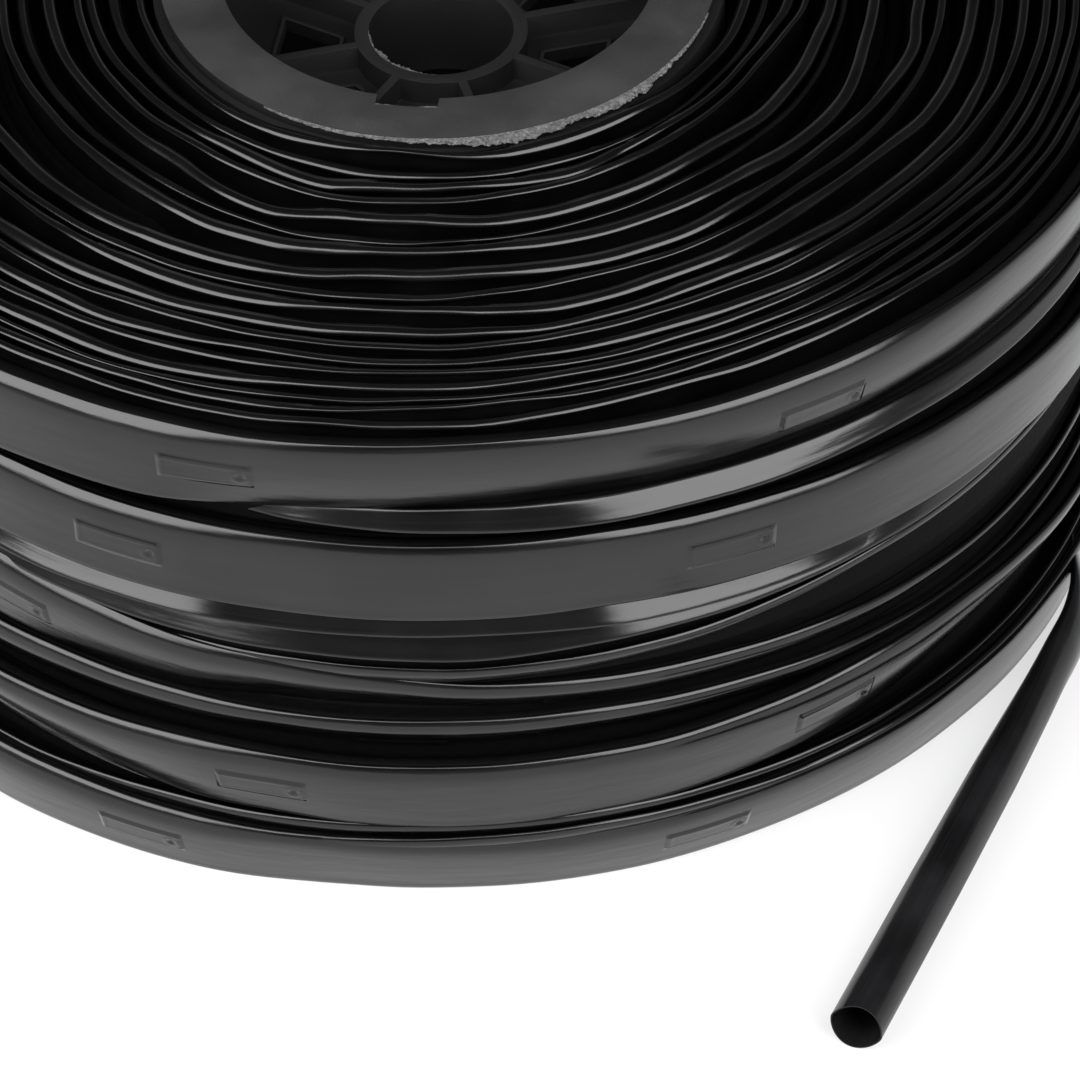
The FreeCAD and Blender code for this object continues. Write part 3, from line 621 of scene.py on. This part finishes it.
class TAPE_OT_face_turns(bpy.types.Operator):
    """Winds the turns whose edges show on the upper face"""
    bl_idname = "tape.face_turns"
    bl_label = "Upper face turns"

    def execute(self, context):
        tape = settings().tape
        turns = [
            [(azimuth, radius - SIGHT * low * abs(math.sin(math.radians(azimuth))), low) for azimuth, radius in crests]
            for crests, low in FACE_CRESTS
        ]
        azimuth, (radius, depth) = winding(turns, tape.front_steps, tape.back_steps)
        length = travelled(azimuth, radius)
        per_turn = tape.front_steps + tape.back_steps
        inside = np.concatenate([np.full(per_turn, CORE_RADIUS), radius])[: len(radius)]
        room = np.clip(radius - inside, 2.0, 9.0)
        lit = sum(np.exp(-((azimuth - place) / 14) ** 2) for place in LIT_AZIMUTHS)
        curl = np.clip((0.32 + 0.16 * lit) * room, 1.3, 3.0) + waves(length, 9, (140, 0.12))
        radius = radius + waves(length, 1, (61, 0.15), (23, 0.06))
        radius = radius - SIGHT * CREST_RISE * curl * np.abs(np.sin(np.radians(azimuth)))
        depth = np.maximum(0.2, depth + waves(length, 5, (83, 0.35), (31, 0.12))) + CREST_RISE * curl
        tilt = 12 + waves(length, 3, (190, 6), (67, 4))
        even = np.ones_like(radius)
        places = (radius, depth, tilt, even * 93, 1.2 * curl, even * 0, even * tape.width / MM)
        wind("face_turns", azimuth, places, crown=-70, sudden=3.5, curl=curl, blunt=5)
        return {"FINISHED"}


class TAPE_OT_outer_rows(bpy.types.Operator):
    """Winds the six rows down the outside and the last turn"""
    bl_idname = "tape.outer_rows"
    bl_label = "Outer rows"

    def execute(self, context):
        azimuth, places, curl = outer_places()
        piece = wind("outer_rows", azimuth, places, ROW_CROWN, curl=curl)
        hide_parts("wound_tape")
        radius, depth, tilt, foot_tilt, turn_in, bow, width = places
        under = (radius - UNDER[0], depth + UNDER[1], tilt, foot_tilt, turn_in, bow, width - UNDER[2])
        # The turns under the rows get the film painted near black as shade
        wind("under_rows", azimuth[::2], [part[::2] for part in under], 20, curl=curl[::2], dull=True, layers=3)
        return {"FINISHED"}


def outer_places():
    """Where the outer rows run, and how far their upper edges curl at each section."""
    tape = settings().tape
    azimuth, columns = winding(OUTER_ROWS, tape.front_steps, tape.back_steps)
    steps = tape.back_steps
    share = ease(np.linspace(0, 1, steps, endpoint=False))
    azimuth = np.concatenate([np.linspace(180, 0, steps, endpoint=False), azimuth])
    radius, depth, tilt, foot_tilt, turn_in = (
        np.concatenate([first + (column[0] - first) * share, column]) for first, column in zip(LEAD_IN, columns)
    )
    length = travelled(azimuth, radius)
    length -= length[steps]
    depth = depth + waves(length, 2, (95, 0.2), (37, 0.07))
    radius = radius + waves(length, 4, (120, 0.1), (45, 0.04))
    bow = 0.25 + waves(length, 6, (210, 0.2))
    curl = 2.5 + 1.0 * (1 - ease((azimuth + 112) / 8)) + waves(length, 8, (170, 0.25))
    curl -= 1.1 * ease((azimuth + 58) / 16) * (azimuth < 1)
    width = np.full_like(radius, tape.width / MM)
    wound = turned_by(azimuth) <= FREE_FROM
    places = [part[wound] for part in (radius, depth, tilt, foot_tilt, turn_in, bow, width)]
    return azimuth[wound], places, curl[wound]


class TAPE_OT_gap_turns(bpy.types.Operator):
    """Winds the turns that show in the gaps between the outer rows"""
    bl_idname = "tape.gap_turns"
    bl_label = "Turns in the gaps"

    def execute(self, context):
        tape = settings().tape
        # The turns in the gaps get the film painted near black as shade; the rims and the tilted strips keep the plain
        # film
        for name, turns, seed, crown, dull in (
            ("gap_turns", GAP_TURNS, 7, 20, True), ("rim_turns", RIM_TURNS, 8, 50, False),
            ("tilted_turns", TILTED_TURNS, 9, 20, False),
        ):
            azimuth, columns = winding(turns, tape.front_steps, tape.back_steps)
            radius, depth, tilt, foot_tilt, turn_in, width = columns
            length = travelled(azimuth, radius)
            depth = depth + waves(length, seed, (70, 0.15), (29, 0.06))
            bow = np.full_like(radius, 0.2)
            wind(name, azimuth, (radius, depth, tilt, foot_tilt, turn_in, bow, width), crown, dull=dull)
        return {"FINISHED"}


# Turns on the underside, the innermost one's radius, how far they reach outward, and how high they stand
LOWER_COUNT = 22
LOWER_INNER = 82
LOWER_REACH = 96
LOWER_HEIGHT = 24.6


class TAPE_OT_lower_turns(bpy.types.Operator):
    """Winds the turns whose edges show on the underside"""
    bl_idname = "tape.lower_turns"
    bl_label = "Underside turns"

    def execute(self, context):
        turns = []
        for number in range(LOWER_COUNT):
            radius = LOWER_INNER + LOWER_REACH * number / LOWER_COUNT
            height = LOWER_HEIGHT + 1.4 * (number * 0.38 % 1)
            turns.append([(-180, radius + 2.2, TOP - height), (0, radius, TOP - height)])
        azimuth, (radius, depth) = winding(turns, 64, 44)
        length = travelled(azimuth, radius)
        radius = radius + waves(length, 11, (150, 0.5), (61, 0.2))
        even = np.ones_like(radius)
        foot_tilt = 96 + waves(length, 13, (210, 10), (77, 5))
        wind("lower_turns", azimuth, (radius, depth, even * 90, foot_tilt, even * 12, even * 0, even * 24), 0)
        return {"FINISHED"}


# The pad over an emitter: how far across the tape its middle lies, in metres, then in millimetres
# from there, along and across, the pad's reach, where it is raised, its frame line and its outlet
PAD_MIDDLE = 0.01225
PAD = (12.4, 4.6)
PAD_GRID = (42, 18)
RAISED = (11.9, 3.9)
RAISED_HEIGHT = 0.42
FRAME = (10.6, 2.9)
FRAME_HEIGHT = 0.12
OUTLET = -8.6
PAD_DEPTH = 0.4


class TAPE_OT_emitters(bpy.types.Operator):
    """Raises the film over each emitter, with its pierced outlet"""
    bl_idname = "tape.emitters"
    bl_label = "Emitters"

    def execute(self, context):
        azimuth, places, curl = outer_places()
        sections = strip_sections(azimuth, places, ROW_CROWN, curl=curl)
        faces_out = sections[:, : len(OUT_SIDE)]
        reach = OUT_SIDE * settings().tape.width
        lengths = path_lengths(sections)
        form = bmesh.new()
        layer = form.loops.layers.uv.new("strip")
        for name in EMITTERS:
            low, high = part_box(name)
            centre = (np.array(low) + np.array(high)) / 2
            turned = math.degrees(math.atan2(centre[1], centre[0]))
            behind = turned > 0
            levels = [level + (following - level) * (180 - turned) / 180 if behind else level
                      for level, following in zip(ROW_LEVELS, ROW_LEVELS[1:] + ROW_LEVELS[-1:])]
            row = int(np.argmin([abs(centre[2] / MM - level) for level in levels]))
            passed = (540 - turned if behind else 180 - turned) + 360 * row
            place = np.interp(passed, turned_by(azimuth), lengths)
            self.blister(form, layer, faces_out, reach, lengths, place)
        mesh = closed(bpy.data.meshes.new("emitter_blisters"), form)
        piece = add_piece("emitter_blisters", mesh, film())
        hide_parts(*EMITTERS)
        return {"FINISHED"}

    def blister(self, form, layer, faces_out, reach, lengths, centre):
        """A closed pad of film that follows the row's face, raised over the emitter."""
        along, across = (np.linspace(-end, end, count) for end, count in zip(PAD, PAD_GRID))
        grid = []
        for x in along:
            section = np.array([
                [np.interp(centre + x * MM, lengths, faces_out[:, j, axis]) for axis in range(3)]
                for j in range(faces_out.shape[1])
            ])
            places = PAD_MIDDLE + across * MM
            grid.append(np.stack([np.interp(places, reach, section[:, axis]) for axis in range(3)], axis=1))
        grid = np.array(grid)
        run = np.gradient(grid, axis=0)
        wide = np.gradient(grid, axis=1)
        out = np.cross(run, wide)
        out /= np.linalg.norm(out, axis=2, keepdims=True)
        spoke = grid * np.array([1, 1, 0])
        if (out * spoke).sum() < 0:
            out = -out
        x, y = np.meshgrid(along, across, indexing="ij")
        from_end, from_middle = np.abs(x), np.abs(y)
        raised = ease(RAISED[0] - from_end) * ease(RAISED[1] - from_middle)
        frame_line = np.exp(-((from_end - FRAME[0]) / 0.45) ** 2) * (from_middle < 3.3)
        frame_line += np.exp(-((from_middle - FRAME[1]) / 0.4) ** 2) * (from_end < 10.9)
        outlet = np.hypot(x - OUTLET, y)
        height = RAISED_HEIGHT * raised + FRAME_HEIGHT * frame_line * raised
        height += 0.2 * np.exp(-((outlet - 1.5) / 0.5) ** 2)
        height -= 0.5 * np.exp(-(outlet / 0.75) ** 2)
        inside = np.clip(np.minimum(PAD[0] - from_end, PAD[1] - from_middle) / 0.5, 0, 1)
        height = (height + 0.03) * inside - 0.12 * (1 - inside)
        top = grid + out * (height * MM)[..., None]
        low = grid - out * (PAD_DEPTH * MM)
        rows, columns = x.shape
        upper = [[form.verts.new(top[i, j]) for j in range(columns)] for i in range(rows)]
        under = [[form.verts.new(low[i, j]) for j in range(columns)] for i in range(rows)]

        def close(corners, places):
            face = form.faces.new(corners)
            for loop, (i, j) in zip(face.loops, places):
                loop[layer].uv = (centre + along[i] * MM, PAD_MIDDLE + across[j] * MM)

        for i in range(rows - 1):
            for j in range(columns - 1):
                ring = [(i, j), (i + 1, j), (i + 1, j + 1), (i, j + 1)]
                close([upper[a][b] for a, b in ring], ring)
                close([under[a][b] for a, b in ring[::-1]], ring[::-1])
        border = [(i, 0) for i in range(rows)] + [(rows - 1, j) for j in range(1, columns)]
        border += [(i, columns - 1) for i in range(rows - 2, -1, -1)] + [(0, j) for j in range(columns - 2, 0, -1)]
        for (a, b), (c, d) in zip(border, border[1:] + border[:1]):
            close([upper[a][b], upper[c][d], under[c][d], under[a][b]], [(a, b), (c, d), (c, d), (a, b)])


# The softboxes, all at one distance: name, azimuth, elevation, width, height and whose power they have
SOFTBOX_DISTANCE = 1.3
SOFTBOXES = [
    ("left_softbox", -143.5, 38, 1.0, 1.1, "left_light"), ("right_softbox", -51, 38, 0.95, 1.1, "right_light"),
    ("middle_softbox", -96, 58, 0.55, 0.35, "middle_light"),
]


class TAPE_OT_stage(bpy.types.Operator):
    """Lays the floor and sets the lights, the surround and the camera"""
    bl_idname = "tape.stage"
    bl_label = "Stage"

    def execute(self, context):
        stage = settings().stage
        bpy.ops.object.select_all(action="DESELECT")
        bpy.ops.mesh.primitive_plane_add(size=12, location=(0, 0, CAD_BOX[0][2]))
        floor = context.active_object
        floor.name = "floor"
        shader = Shader("pale_floor")
        mottle = shader.noise(shader.place(), 0.004, 3.0)
        base = shader.blend(mottle, tuple(part * 0.985 for part in stage.floor), tuple(stage.floor))
        plain = shader.node("ShaderNodeBsdfPrincipled", None, {"Base Color": base, "Roughness": 0.7})
        white = shader.node("ShaderNodeEmission", None, {"Strength": 1.0})
        rays = ("Camera", "Glossy", "Transmission")
        camera, glossy, passing = (shader.node("ShaderNodeLightPath", output=f"Is {ray} Ray") for ray in rays)
        share = (camera + glossy + passing) * stage.white
        floor.data.materials.append(shader.surface(shader.node("ShaderNodeMixShader", None, [share, plain, white])))
        for name, azimuth, elevation, width, height, power in SOFTBOXES:
            light = bpy.data.lights.new(name, "AREA")
            light.shape = "RECTANGLE"
            light.size = width
            light.size_y = height
            light.energy = getattr(stage, power)
            lamp = bpy.data.objects.new(name, light)
            context.scene.collection.objects.link(lamp)
            spot, rise = math.radians(azimuth), math.radians(elevation)
            place = Vector((math.cos(spot) * math.cos(rise), math.sin(spot) * math.cos(rise), math.sin(rise)))
            place *= SOFTBOX_DISTANCE
            lamp.location = place
            lamp.rotation_euler = place.to_track_quat("Z", "Y").to_euler()
        self.surround(context, stage)
        self.camera(context)
        context.scene.view_settings.view_transform = "Standard"
        return {"FINISHED"}

    def surround(self, context, stage):
        """A grey studio, bright at the horizon and dim overhead."""
        sky = Shader("studio", "World")
        height = sky.part(sky.node("ShaderNodeTexCoord", output="Generated"), "Z")
        limits = {"From Min": 0.05, "From Max": 0.5, "To Min": stage.surround, "To Max": stage.overhead}
        fade = sky.node("ShaderNodeMapRange", {"interpolation_type": "SMOOTHSTEP"}, {"Value": height, **limits})
        light = sky.node("ShaderNodeBackground", None, {"Color": (1, 1, 1, 1), "Strength": fade})
        context.scene.world = sky.surface(light)

    def camera(self, context):
        """The photograph's viewing angle, from a fit to the hub's circles and the outer rows."""
        rise = math.radians(VIEW_RISE)
        place = Vector((0, -VIEW_DISTANCE * math.cos(rise), VIEW_DISTANCE * math.sin(rise)))
        ahead = -place.normalized()
        right = Vector((1, 0, 0))
        up = right.cross(ahead)
        pan, tilt, roll = (math.radians(angle) for angle in VIEW_TURNS)
        turn = Matrix.Rotation(pan, 3, up)
        ahead, right = turn @ ahead, turn @ right
        turn = Matrix.Rotation(tilt, 3, right)
        ahead, up = turn @ ahead, turn @ up
        turn = Matrix.Rotation(roll, 3, ahead)
        right, up = turn @ right, turn @ up
        lens = bpy.data.cameras.new("camera")
        lens.sensor_fit = "HORIZONTAL"
        lens.sensor_width = SENSOR
        lens.lens = LENS
        lens.clip_end = 50
        camera = bpy.data.objects.new("camera", lens)
        context.scene.collection.objects.link(camera)
        axes = Matrix((right, up, -ahead)).transposed().to_4x4()
        camera.matrix_world = Matrix.Translation(place + Vector((0, 0, TOP * MM))) @ axes
        context.scene.camera = camera


# The free end, from where it leaves the winding to its open mouth, and the way round its wall
ROUTE = [
    (0.17100, -0.07790, 0.01245), (0.17000, -0.08740, 0.01200), (0.16824, -0.10420, 0.01110),
    (0.15890, -0.12170, 0.01035), (0.12844, -0.17870, 0.00910), (0.09440, -0.24225, 0.00840),
]
GIRTH = 0.0494

# Half the tube's thickness against the length from its start, and half its height against that, in millimetres
OPENING = ([0, 12, 26, 42, 62, 90, 130, 200], [0.6, 1.7, 3.4, 4.7, 5.6, 6.4, 6.8, 7.0])
TALL = ([0.6, 1.7, 3.4, 4.6, 5.6, 6.4, 7.0], [12.1, 11.9, 11.1, 10.3, 9.5, 8.7, 8.2])


class TAPE_OT_free_end(bpy.types.Operator):
    """Draws the free end of the tape, open to a creased tube with an open mouth"""
    bl_idname = "tape.free_end"
    bl_label = "Free end"

    def execute(self, context):
        tape = settings().tape
        curve = bpy.data.curves.new("free_end_route", "CURVE")
        curve.dimensions = "3D"
        spline = curve.splines.new("NURBS")
        spline.points.add(len(ROUTE) - 1)
        for point, place in zip(spline.points, ROUTE):
            point.co = (*place, 1)
        spline.order_u = 3
        spline.use_endpoint_u = True
        spline.resolution_u = 16
        route = bpy.data.objects.new("free_end_route", curve)
        line = bpy.data.meshes.new_from_object(route)
        path = [vertex.co.copy() for vertex in line.vertices]
        bpy.data.objects.remove(route)
        bpy.data.meshes.remove(line)
        mesh = self.tube(self.rings(path, 0), self.rings(path, tape.wall))
        # Painted light: the free end gets a copy of the film painted 3.2 times lighter, with little shine
        free_end_lit_colour = tuple(part * 3.2 for part in tape.colour)
        finish = material("handled_film", tape_material, free_end_lit_colour, "handled_film", 0.12)
        piece = add_piece("free_tape", mesh, finish)
        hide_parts("free_end")
        return {"FINISHED"}

    def rings(self, path, inset):
        """Oval sections: flat on edge where the tape leaves, tall and creased at both sides at the mouth."""
        lengths = [0.0]
        for before, after in zip(path, path[1:]):
            lengths.append(lengths[-1] + (after - before).length)
        ahead = path[-1] - path[0]
        ahead.z = 0
        ahead.normalize()
        sideways = Vector((0, 0, 1)).cross(ahead)
        rings = []
        for place, length in zip(path, lengths):
            along = length / lengths[-1]
            half = np.interp(length / MM, *OPENING) * MM
            tall = np.interp(half / MM, *TALL) * MM
            creased = ease((along - 0.2) / 0.25)
            mouth = ease((along - 0.8) / 0.2)
            lean = math.radians(-15 * (1 - ease(along / 0.3)) + 14 * creased)
            upward = Vector((0, 0, 1)) * math.cos(lean) + sideways * math.sin(lean)
            outward = sideways * math.cos(lean) - Vector((0, 0, 1)) * math.sin(lean)
            ring = []
            for turn in np.linspace(0, math.tau, 56, endpoint=False):
                across, rise = math.sin(turn), math.cos(turn)
                across = math.copysign(abs(across) ** (1.25 - 0.25 * creased), across)
                rise = math.copysign(abs(rise) ** (1 + 0.8 * creased - 0.45 * mouth), rise)
                ring.append(place + outward * (across * (half - inset)) + upward * (rise * (tall - inset)))
            rings.append(ring)
        return np.array([[tuple(point) for point in ring] for ring in rings])

    def tube(self, outer, inner):
        """Joins the outer and inner skins at both ends."""
        count, around = outer.shape[:2]
        shift = count * around
        lengths = path_lengths(outer)
        widths = [GIRTH * n / around for n in range(around + 1)]
        faces, uvs = skin(lengths, widths)
        inner_faces, inner_uvs = skin(lengths, widths, shift, inward=True)
        faces += inner_faces
        uvs += inner_uvs
        for end in (0, count - 1):
            for j in range(around):
                here, following = end * around + j, end * around + (j + 1) % around
                faces.append((here, following, shift + following, shift + here))
                uvs += [(lengths[end], widths[n]) for n in (j, j + 1, j + 1, j)]
        mesh = mapped("free_tape", np.concatenate([outer, inner]), faces, uvs)
        ends = {end * around + j for end in (0, count - 1) for j in range(around)}
        rims = ends | {shift + n for n in ends}
        for edge in mesh.edges:
            if edge.vertices[0] in rims and edge.vertices[1] in rims:
                edge.use_edge_sharp = True
        return mesh


# The buried turns: inner and outer radius, low and high side, and ridges on the sides and outside
BURIED_INNER = 77.0
BURIED_OUTER = 181.0
BURIED_LOW = 9.0
BURIED_HIGH = 147.0
BURIED_TURNS = 30
BURIED_ROWS = 12
BURIED_STEPS = 96


class TAPE_OT_inner_turns(bpy.types.Operator):
    """Turns a ridged ring for the turns buried under those on show"""
    bl_idname = "tape.inner_turns"
    bl_label = "Buried turns"

    def execute(self, context):
        profile = [(BURIED_INNER, BURIED_LOW - 1)]
        for number in range(BURIED_TURNS):
            radius = BURIED_INNER + (BURIED_OUTER - BURIED_INNER) * (number + 0.5) / BURIED_TURNS
            profile += [(radius - 0.9, 7.0), (radius, 4.6), (radius + 0.9, 7.0)]
        profile.append((BURIED_OUTER, BURIED_LOW))
        for number in range(BURIED_ROWS):
            low = BURIED_LOW + 137 * number / BURIED_ROWS
            profile += [(BURIED_OUTER + out, low + up) for out, up in ((0, 1.0), (0.9, 3), (0.7, 10.4))]
        profile.append((BURIED_OUTER, BURIED_HIGH - 1))
        for number in range(BURIED_TURNS, 0, -1):
            radius = BURIED_INNER + (BURIED_OUTER - BURIED_INNER - 2) * (number - 0.5) / BURIED_TURNS
            profile += [(radius + 0.9, BURIED_HIGH), (radius, BURIED_HIGH + 2.4), (radius - 0.9, BURIED_HIGH)]
        profile.append((BURIED_INNER, BURIED_HIGH))
        points, faces = [], []
        around = len(profile)
        for step in range(BURIED_STEPS):
            turn = math.tau * step / BURIED_STEPS
            points += [(r * math.cos(turn) * MM, r * math.sin(turn) * MM, z * MM) for r, z in profile]
            here, there = step * around, (step + 1) % BURIED_STEPS * around
            for j in range(around):
                k = (j + 1) % around
                faces.append((here + j, here + k, there + k, there + j))
        mesh = bpy.data.meshes.new("buried_turns")
        mesh.from_pydata(points, [], faces)
        # The buried ring gets the film painted near black as shade
        piece = add_piece(mesh.name, closed(mesh, smooth=False), gap_shade_film())
        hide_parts("buried_winding")
        return {"FINISHED"}


class TAPE_OT_hubs(bpy.types.Operator):
    """Rounds the hubs' moulded edges, gives the hubs their material with painted shade in the recess, and gives the
    core tube its finish
    """
    bl_idname = "tape.hubs"
    bl_label = "Hubs"

    def execute(self, context):
        grey = material("moulded_hub", hub_material, settings().hub.colour)
        for name in ("upper_hub", "lower_hub"):
            mesh = bpy.data.objects[name].data.copy()
            mesh.name = f"{name}_moulding"
            piece = add_piece(mesh.name, mesh, grey)
            self.round_edges(context, piece)
            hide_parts(name)
        finishes = bpy.data.objects["core_tube"].data.materials
        finishes.clear()
        finishes.append(material("core_tube_skin", core_material))
        return {"FINISHED"}

    def round_edges(self, context, piece):
        bpy.ops.object.select_all(action="DESELECT")
        context.view_layer.objects.active = piece
        piece.select_set(True)
        bpy.ops.object.mode_set(mode="EDIT")
        bpy.ops.mesh.select_all(action="SELECT")
        bpy.ops.mesh.remove_doubles(threshold=0.00001)
        bpy.ops.mesh.dissolve_limited(angle_limit=math.radians(1))
        bpy.ops.mesh.normals_make_consistent(inside=False)
        bpy.ops.object.mode_set(mode="OBJECT")
        bevel = piece.modifiers.new("edges", "BEVEL")
        bevel.width = settings().hub.edge
        bevel.segments = 2
        bevel.limit_method = "ANGLE"
        bevel.angle_limit = math.radians(35)
        bpy.ops.object.modifier_apply(modifier="edges")
        bpy.ops.object.shade_smooth_by_angle(angle=math.radians(30))


# Torn flash left by the mould, and a light strip painted as the highlight along the drive notch's edge: radius, which
# way it reaches, its level, then azimuths and how far it reaches
FLASH_AND_HIGHLIGHT = [
    (74.4, 1, 159.9, [(-128, 0), (-118, 0.3), (-104, 0.5), (-92, 0.8), (-87, 1.5), (-82, 2.3), (-77, 3.0), (-73, 2.4),
                      (-68, 1.5), (-63, 1.3), (-58, 2.1), (-55, 2.6), (-52, 1.6), (-48, 2.3), (-44, 1.0), (-36, 0.5),
                      (-20, 0)]),
    (19.5, -1, 138.0, [(-190, 0), (-170, 0.5), (-150, 0.9), (-135, 1.1), (-115, 0.8), (-95, 0.4), (-80, 0)]),
    # Painted highlight along the drive notch's edge
    (61.3, -1, 159.9, [(-108.4, 0), (-107.6, 0.5), (-102, 0.35), (-95, 0.45), (-88.4, 0.4), (-87.6, 0)]),
]


class TAPE_OT_flash_and_highlight(bpy.types.Operator):
    """Adds the torn flash round the upper flange and the bore, and a painted highlight along the drive notch's edge"""
    bl_idname = "tape.flash"
    bl_label = "Torn flash"

    def execute(self, context):
        form = bmesh.new()
        for seed, (radius, way, level, reaches) in enumerate(FLASH_AND_HIGHLIGHT):
            self.ragged(form, radius, way, level, np.array(reaches), seed)
        mesh = closed(bpy.data.meshes.new("hub_flash"), form, smooth=False)
        add_piece("hub_flash", mesh, material("torn_edge", flash_and_highlight_material))
        return {"FINISHED"}

    def ragged(self, form, radius, way, level, reaches, seed):
        """A closed, uneven ribbon along an edge."""
        steps = int(abs(reaches[-1, 0] - reaches[0, 0]) * math.radians(radius) / 0.4)
        across = [0, 0.3, 0.6, 0.85, 1, 0.9, 0.5, 0]
        before = None
        for azimuth in np.linspace(reaches[0, 0], reaches[-1, 0], steps):
            reach = np.interp(azimuth, reaches[:, 0], reaches[:, 1])
            turn = math.radians(azimuth)
            spoke = Vector((math.cos(turn), math.sin(turn), 0))
            ring = []
            for number, part in enumerate(across):
                under = number > 4
                out = -0.4 + (reach + 0.4) * part
                low = 0.05 + 0.3 * reach * part * part + (0.45 if under else 0)
                spot = Vector((spoke.x * radius, spoke.y * radius, number * 1.3 + seed * 40))
                rough = 1.4 * noise.noise(spot * 0.3) + noise.noise(spot * 0.9) + 0.5 * noise.noise(spot * 2.3)
                out += rough * 0.8 * min(1.3, reach) * part
                low += 0.35 * min(1, reach) * part * (0.6 + noise.noise(spot * 1.4 + Vector((9, 0, 0))))
                point = spoke * (radius + way * out)
                point.z = level - max(0.02, low)
                ring.append(form.verts.new(point * MM))
            if before:
                for j in range(len(ring)):
                    k = (j + 1) % len(ring)
                    form.faces.new((before[j], before[k], ring[k], ring[j]))
            else:
                form.faces.new(ring)
            before = ring
        form.faces.new(before[::-1])


class TapeRollSettings(bpy.types.PropertyGroup):
    """All the settings of the roll."""
    tape: PointerProperty(type=TapeSettings)
    hub: PointerProperty(type=HubSettings)
    stage: PointerProperty(type=StageSettings)


STEPS = (
    TAPE_OT_stage, TAPE_OT_free_end, TAPE_OT_face_turns, TAPE_OT_outer_rows, TAPE_OT_gap_turns,
    TAPE_OT_emitters, TAPE_OT_lower_turns, TAPE_OT_inner_turns, TAPE_OT_hubs, TAPE_OT_flash_and_highlight,
)


class TAPE_PT_roll(bpy.types.Panel):
    """Lists the settings and the steps of the roll"""
    bl_idname = "TAPE_PT_roll"
    bl_label = "Drip tape roll"
    bl_space_type = "VIEW_3D"
    bl_region_type = "UI"
    bl_category = "Tape roll"

    def draw(self, context):
        roll = context.scene.tape_roll
        for group in (roll.tape, roll.hub, roll.stage):
            box = self.layout.box()
            for name in group.bl_rna.properties.keys():
                if name not in ("rna_type", "name"):
                    box.prop(group, name)
        for step in STEPS:
            self.layout.operator(step.bl_idname)


CLASSES = (TapeSettings, HubSettings, StageSettings, TapeRollSettings, *STEPS, TAPE_PT_roll)


def register():
    for kind in CLASSES:
        bpy.utils.register_class(kind)
    bpy.types.Scene.tape_roll = PointerProperty(type=TapeRollSettings)


def unregister():
    del bpy.types.Scene.tape_roll
    for kind in reversed(CLASSES):
        bpy.utils.unregister_class(kind)


def main():
    register()
    for step in STEPS:
        group, name = step.bl_idname.split(".")
        getattr(getattr(bpy.ops, group), name)()


if __name__ == "__main__":
    main()
